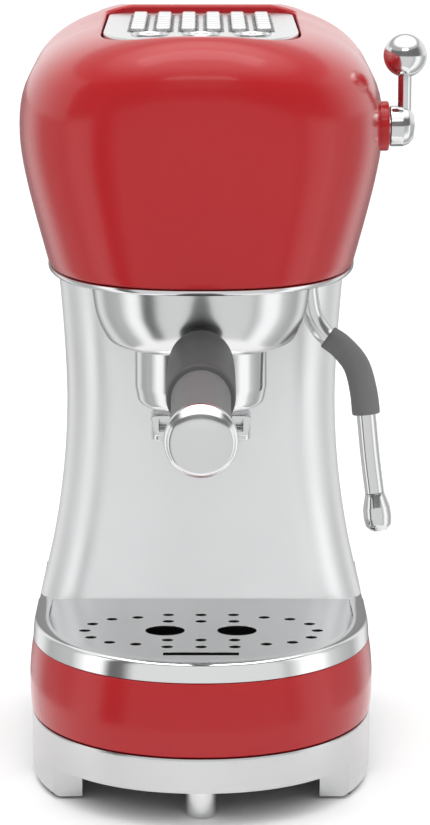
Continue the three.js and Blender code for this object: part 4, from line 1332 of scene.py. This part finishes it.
def grid_spots():
    spots = []
    for x in (-14.2, 0, 14.2):
        for reach in (15.6, 26.7):
            spots += [(x, GROUP_Y - reach), (x, GROUP_Y + reach)]
    for side in (-1, 1):
        for step in range(-3, 4):
            turn = math.radians(30 * step)
            spots.append((side * (27.5 + 22.3 * math.cos(turn)), GROUP_Y + 22.3 * math.sin(turn)))
    return spots


def drip_plate():
    edge = [(67.3, 7.9), (68.5, 7.9), (68.72, 8.0), (68.8, 8.3)]
    sheet = halved(drawn_up("drip_sheet", plan_rings(BASE_PLAN, edge)), TRAY_END, True)
    first = upright_post("hole", 0, 0, 60, 75, 2.4, 28)
    holes = [twin(first, "hole", (x, y, 0)) for x, y in grid_spots()]
    holes += [upright_post("drain", side * 15.4, GROUP_Y, 60, 75, 8.4, 56) for side in (-1, 1)]
    holes.append(block("slot", (-15.8, 1.7, 60), (15.8, 6.7, 75)))
    bpy.data.objects.remove(first)
    carve(sheet, joined(*holes))
    return bevelled(sheet, 0.22, 2)


def tray_tub():
    inset, wall, bottom, top = 2.8, 2, 30.9, 61.4
    outer = [(bottom, inset + 2), (bottom + 0.5, inset + 0.8), (bottom + 2, inset), (top, inset)]
    tub = halved(drawn_up("tray_tub", plan_rings(BASE_PLAN, outer)), TRAY_END, True)
    floor, inside_wall = bottom + wall, inset + wall
    inner = [(floor, inside_wall + 1.5), (floor + 1.5, inside_wall), (top + 4, inside_wall)]
    hollow = halved(drawn_up("hollow", plan_rings(BASE_PLAN, inner)), TRAY_END - wall, True)
    return bevelled(carve(tub, hollow), 0.4, 2)


class MESH_OT_espresso_base(Undoable, bpy.types.Operator):
    """The cast plinth with its legs, the enamel band and the deck"""

    bl_idname = "mesh.espresso_base"
    bl_label = "Base"

    def execute(self, context):
        cast = finish("cast")
        finished(plinth_body(), "machine", "cast_silver", cast, "plinth", flats=True)
        finished(foot(), "machine", "chrome", finish("chrome"), "front_foot")
        band = halved(band_skin("rear_enamel_band"), FIXED_START, False)
        bore = upright_post("gland_hole", 0, 0, -20, 20, 6.3, 48)
        placed(bore, Matrix.Rotation(math.pi / 2, 4, "X"), (45, 214, 46))
        finished(carve(band, bore), "machine", "red_enamel", finish("enamel"), "rear_band")
        deck = bevelled(solid_copy("tank_deck", "base_deck"), 0.5, 3)
        finished(deck, "machine", "cast_silver", cast, "base_deck")
        gland = bevelled(solid_copy("rear_gland", "cord_gland"), 0.5, 2)
        finished(gland, "machine", "black_plastic", finish("black"), "cord_gland")
        dress(finish("black"), "base_cover")
        for place in ("front_left", "front_right", "rear_left", "rear_right"):
            dress(finish("rubber"), place + "_foot_pad")
        return {"FINISHED"}


class MESH_OT_espresso_drip_tray(Undoable, bpy.types.Operator):
    """The drip tray with its enamel front, chrome rim and grid"""

    bl_idname = "mesh.espresso_drip_tray"
    bl_label = "Drip tray"

    def execute(self, context):
        finished(tray_frame(), "drip_tray", "chrome", finish("mirror_steel"), "tray_rim")
        front = halved(band_skin("tray_enamel_band"), TRAY_END, True)
        finished(front, "drip_tray", "red_enamel", finish("enamel"), "tray_band")
        finished(tray_tub(), "drip_tray", "black_plastic", finish("black"), "tray_bin")
        steel = finish("mirror_steel")
        finished(drip_plate(), "drip_grid", "polished_steel", steel, "drip_grid", flats=True)
        return {"FINISHED"}


# ---- water tank and works inside


def tank_body():
    outer = [(72, 2.2), (72.3, 1), (73.2, 0.2), (75, 0), (150, 0), (225, 0), (297.6, 0), (298, 0.4)]
    inner = [(298, 1.6), (297.6, 2), (225, 2), (150, 2), (76, 2), (74.6, 2.6), (74, 4)]
    shell = drawn_up("tank_body", plan_rings(TANK_PLAN, outer + inner))
    return carve(shell, upright_post("valve_hole", 0, 182, 70, 78, 7.3, 40))


def lid_body():
    levels = [
        (298.3, -1.2), (298.7, -1.6), (305.2, -1.6), (306.6, -1.1), (307.9, 0.1), (308.7, 1.6),
        (309.15, 3), (309.3, 4.6),
    ]
    lid = drawn_up("tank_lid_cover", plan_rings(TANK_PLAN, levels))
    recess = block("recess", (-16, 164, 303.3), (16, 178, 320), 2.4, 4)
    return bevelled(carve(lid, recess), 0.5, 2)


class MESH_OT_espresso_tank(Undoable, bpy.types.Operator):
    """The water tank behind the column and its lid"""

    bl_idname = "mesh.espresso_tank"
    bl_label = "Water tank"

    def execute(self, context):
        finished(tank_body(), "water_tank", "clear_grey_plastic", finish("tank"), "water_tank")
        finished(lid_body(), "tank_lid", "red_plastic", finish("enamel"), "tank_lid")
        dress(finish("black"), "tank_valve", "tank_seat")
        return {"FINISHED"}


class MESH_OT_espresso_works(Undoable, bpy.types.Operator):
    """The pump, hoses and board inside the column and head"""

    bl_idname = "mesh.espresso_works"
    bl_label = "Works inside"

    def execute(self, context):
        dress(finish("brass"), "pump", "steam_pipe", "wand_feed_pipe")
        dress(finish("black"), "pump_coil")
        dress(finish("silicone"), "suction_hose", "pressure_hose")
        dress(finish("board"), "control_board")
        return {"FINISHED"}


# ---- stage


def soft_light(name, spot, target, width, height, watts):
    data = bpy.data.lights.new(name, "AREA")
    data.shape = "RECTANGLE"
    data.size = width
    data.size_y = height
    data.energy = watts
    light = bpy.data.objects.new(name, data)
    light.location = spot
    towards = Vector(target) - light.location
    light.rotation_euler = towards.to_track_quat("-Z", "Y").to_euler()
    bpy.context.collection.objects.link(light)


def floor_sheet():
    deselect()
    bpy.ops.mesh.primitive_circle_add(vertices=96, radius=14, fill_type="NGON")
    return named("floor_sheet")


def grey_ramp(tree, stops):
    """A colour ramp with grey stops at their places."""
    node = tree.nodes.new("ShaderNodeValToRGB")
    ramp = node.color_ramp
    while len(ramp.elements) < len(stops):
        ramp.elements.new(1.0)
    for element, (place, value) in zip(ramp.elements, stops):
        element.position = place
        element.color = (value, value, value, 1)
    return node


def height_ramp(tree, coordinates, low, high, stops):
    """A grey ramp over a span of heights."""
    split = tree.nodes.new("ShaderNodeSeparateXYZ")
    span = tree.nodes.new("ShaderNodeMapRange")
    span.inputs["From Min"].default_value = low
    span.inputs["From Max"].default_value = high
    ramp = grey_ramp(tree, stops)
    tree.links.new(coordinates, split.inputs["Vector"])
    wire(split, "Z", span, "Value")
    wire(span, "Result", ramp, "Fac")
    return ramp.outputs["Color"]


def studio_world():
    """A pale room, brightest overhead."""
    world = bpy.data.worlds.new("Pale Room")
    world.use_nodes = True
    tree = world.node_tree
    place = tree.nodes.new("ShaderNodeTexCoord")
    light = height_ramp(tree, place.outputs["Generated"], 0, 1, ((0.0, 0.22), (0.65, 0.22), (0.9, 1.0)))
    tree.links.new(light, tree.nodes["Background"].inputs["Color"])
    tree.nodes["Background"].inputs["Strength"].default_value = 2.6
    return world


# Brightness of the screens by bearing, in degrees to the right of the camera.
LOW_STRIPS = (
    (-180, 0.34), (-150, 0.28), (-136, 0.95), (-128, 0.95), (-116, 0.5), (-100, 0.6), (-88, 0.8),
    (-78, 1.35), (-66, 1.35), (-60, 0.14), (-50, 0.18), (-42, 0.88), (0, 0.88), (50, 0.86), (56, 0.6),
    (62, 0.9), (68, 1.35), (84, 1.35), (92, 0.8), (104, 0.6), (116, 0.5), (128, 0.95), (136, 0.95),
    (150, 0.28),
)
HIGH_STRIPS = ((-180, 1.05), (-110, 1.05), (-80, 0.2), (80, 0.2), (110, 1.05))
LOW_SCREEN = ((0.19, 0.002), (0.25, 0.03), (0.32, 0.12), (0.35, 0.22), (0.35, 0.3))
HIGH_SCREEN = ((0.35, 0.3), (0.35, 0.5))
SCREEN_CENTRE_Y = 0.05
SCREEN_STRENGTH = 2.0


def screen_material(name, strips):
    """Light and dark strips round the machine."""
    material = bpy.data.materials.new(name)
    material.use_nodes = True
    tree = material.node_tree
    tree.nodes.remove(tree.nodes["Principled BSDF"])
    place = tree.nodes.new("ShaderNodeTexCoord")
    centre = tree.nodes.new("ShaderNodeMapping")
    centre.inputs["Location"].default_value = (0, -SCREEN_CENTRE_Y, 0)
    around = tree.nodes.new("ShaderNodeTexGradient")
    around.gradient_type = "RADIAL"
    stops = sorted(((0.25 + turn / 360) % 1, value / SCREEN_STRENGTH) for turn, value in strips)
    ramp = grey_ramp(tree, stops)
    glow = tree.nodes.new("ShaderNodeEmission")
    glow.inputs["Strength"].default_value = SCREEN_STRENGTH
    wire(place, "Object", centre, "Vector")
    wire(centre, "Vector", around, "Vector")
    wire(around, "Fac", ramp, "Fac")
    wire(ramp, "Color", glow, "Color")
    wire(glow, "Emission", tree.nodes["Material Output"], "Surface")
    return material


def reflecting_screen(name, profile, strips):
    """A round screen that only reflections see, which polished metal needs to show its shape."""
    path = [(radius / MM, height / MM) for radius, height in profile]
    screen = turned(name, path, (0, SCREEN_CENTRE_Y / MM), 96)
    smoothed(screen, 80)
    screen.data.materials.append(screen_material(name, strips))
    for ray in ("camera", "diffuse", "transmission", "shadow"):
        setattr(screen, "visible_" + ray, False)
    return screen


CAMERA_SPOT = (0, -1.2447, 0.40926)
CAMERA_DIP = math.radians(10.802)  # how far it looks down
CAMERA_LENS = 135.2727
CAMERA_SHIFT = 0.01697


class SCENE_OT_espresso_stage(Undoable, bpy.types.Operator):
    """The pale floor, soft lights and camera"""

    bl_idname = "scene.espresso_stage"
    bl_label = "Stage"

    def execute(self, context):
        scene = context.scene
        scene.view_settings.view_transform = "Standard"
        sheet = floor_sheet()
        sheet.data.materials.append(finish("floor"))
        scene.world = studio_world()
        middle = (0, 0.05, 0.2)
        reflecting_screen("low_screen", LOW_SCREEN, LOW_STRIPS)
        reflecting_screen("high_screen", HIGH_SCREEN, HIGH_STRIPS)
        for name, side in (("left_window", -1), ("right_window", 1)):
            soft_light(name, (side * 1.3, 0.25, 0.45), middle, 0.4, 1.1, 1.2)
        soft_light("over_head", (0, 0.0, 1.4), middle, 1.2, 0.5, 3)
        soft_light("key", (0, -1.5, 1.1), middle, 1.0, 0.8, 6)
        lens = bpy.data.cameras.new("view")
        lens.sensor_fit = "VERTICAL"
        lens.sensor_height = 36
        lens.lens = CAMERA_LENS
        lens.shift_x = CAMERA_SHIFT
        camera = bpy.data.objects.new("view", lens)
        camera.location = CAMERA_SPOT
        camera.rotation_euler = (math.pi / 2 - CAMERA_DIP, 0, 0)
        context.collection.objects.link(camera)
        scene.camera = camera
        return {"FINISHED"}


# ---- panel and main

OPERATORS = (
    SCENE_OT_espresso_stage,
    MESH_OT_espresso_head,
    MESH_OT_espresso_warming_plate,
    MESH_OT_espresso_column,
    MESH_OT_espresso_group,
    MESH_OT_espresso_portafilter,
    MESH_OT_espresso_wand,
    MESH_OT_espresso_lever,
    MESH_OT_espresso_base,
    MESH_OT_espresso_drip_tray,
    MESH_OT_espresso_tank,
    MESH_OT_espresso_works,
)


class VIEW3D_PT_espresso(bpy.types.Panel):
    """Everything that the machine is built from"""

    bl_idname = "VIEW3D_PT_espresso"
    bl_label = "Espresso machine"
    bl_space_type = "VIEW_3D"
    bl_region_type = "UI"
    bl_category = "Espresso"

    def draw(self, context):
        column = self.layout.column()
        for settings in (context.scene.espresso_shape, context.scene.espresso_finish):
            for key in settings.__annotations__:
                column.prop(settings, key)
        for operator in OPERATORS:
            column.operator(operator.bl_idname)


CLASSES = (EspressoFinish, EspressoShape, *OPERATORS, VIEW3D_PT_espresso)


def register():
    for item in CLASSES:
        bpy.utils.register_class(item)
    bpy.types.Scene.espresso_finish = PointerProperty(type=EspressoFinish)
    bpy.types.Scene.espresso_shape = PointerProperty(type=EspressoShape)


def unregister():
    del bpy.types.Scene.espresso_shape
    del bpy.types.Scene.espresso_finish
    for item in reversed(CLASSES):
        bpy.utils.unregister_class(item)


def main():
    register()
    for operator in OPERATORS:
        family, name = operator.bl_idname.split(".")
        getattr(getattr(bpy.ops, family), name)()


if __name__ == "__main__":
    main()
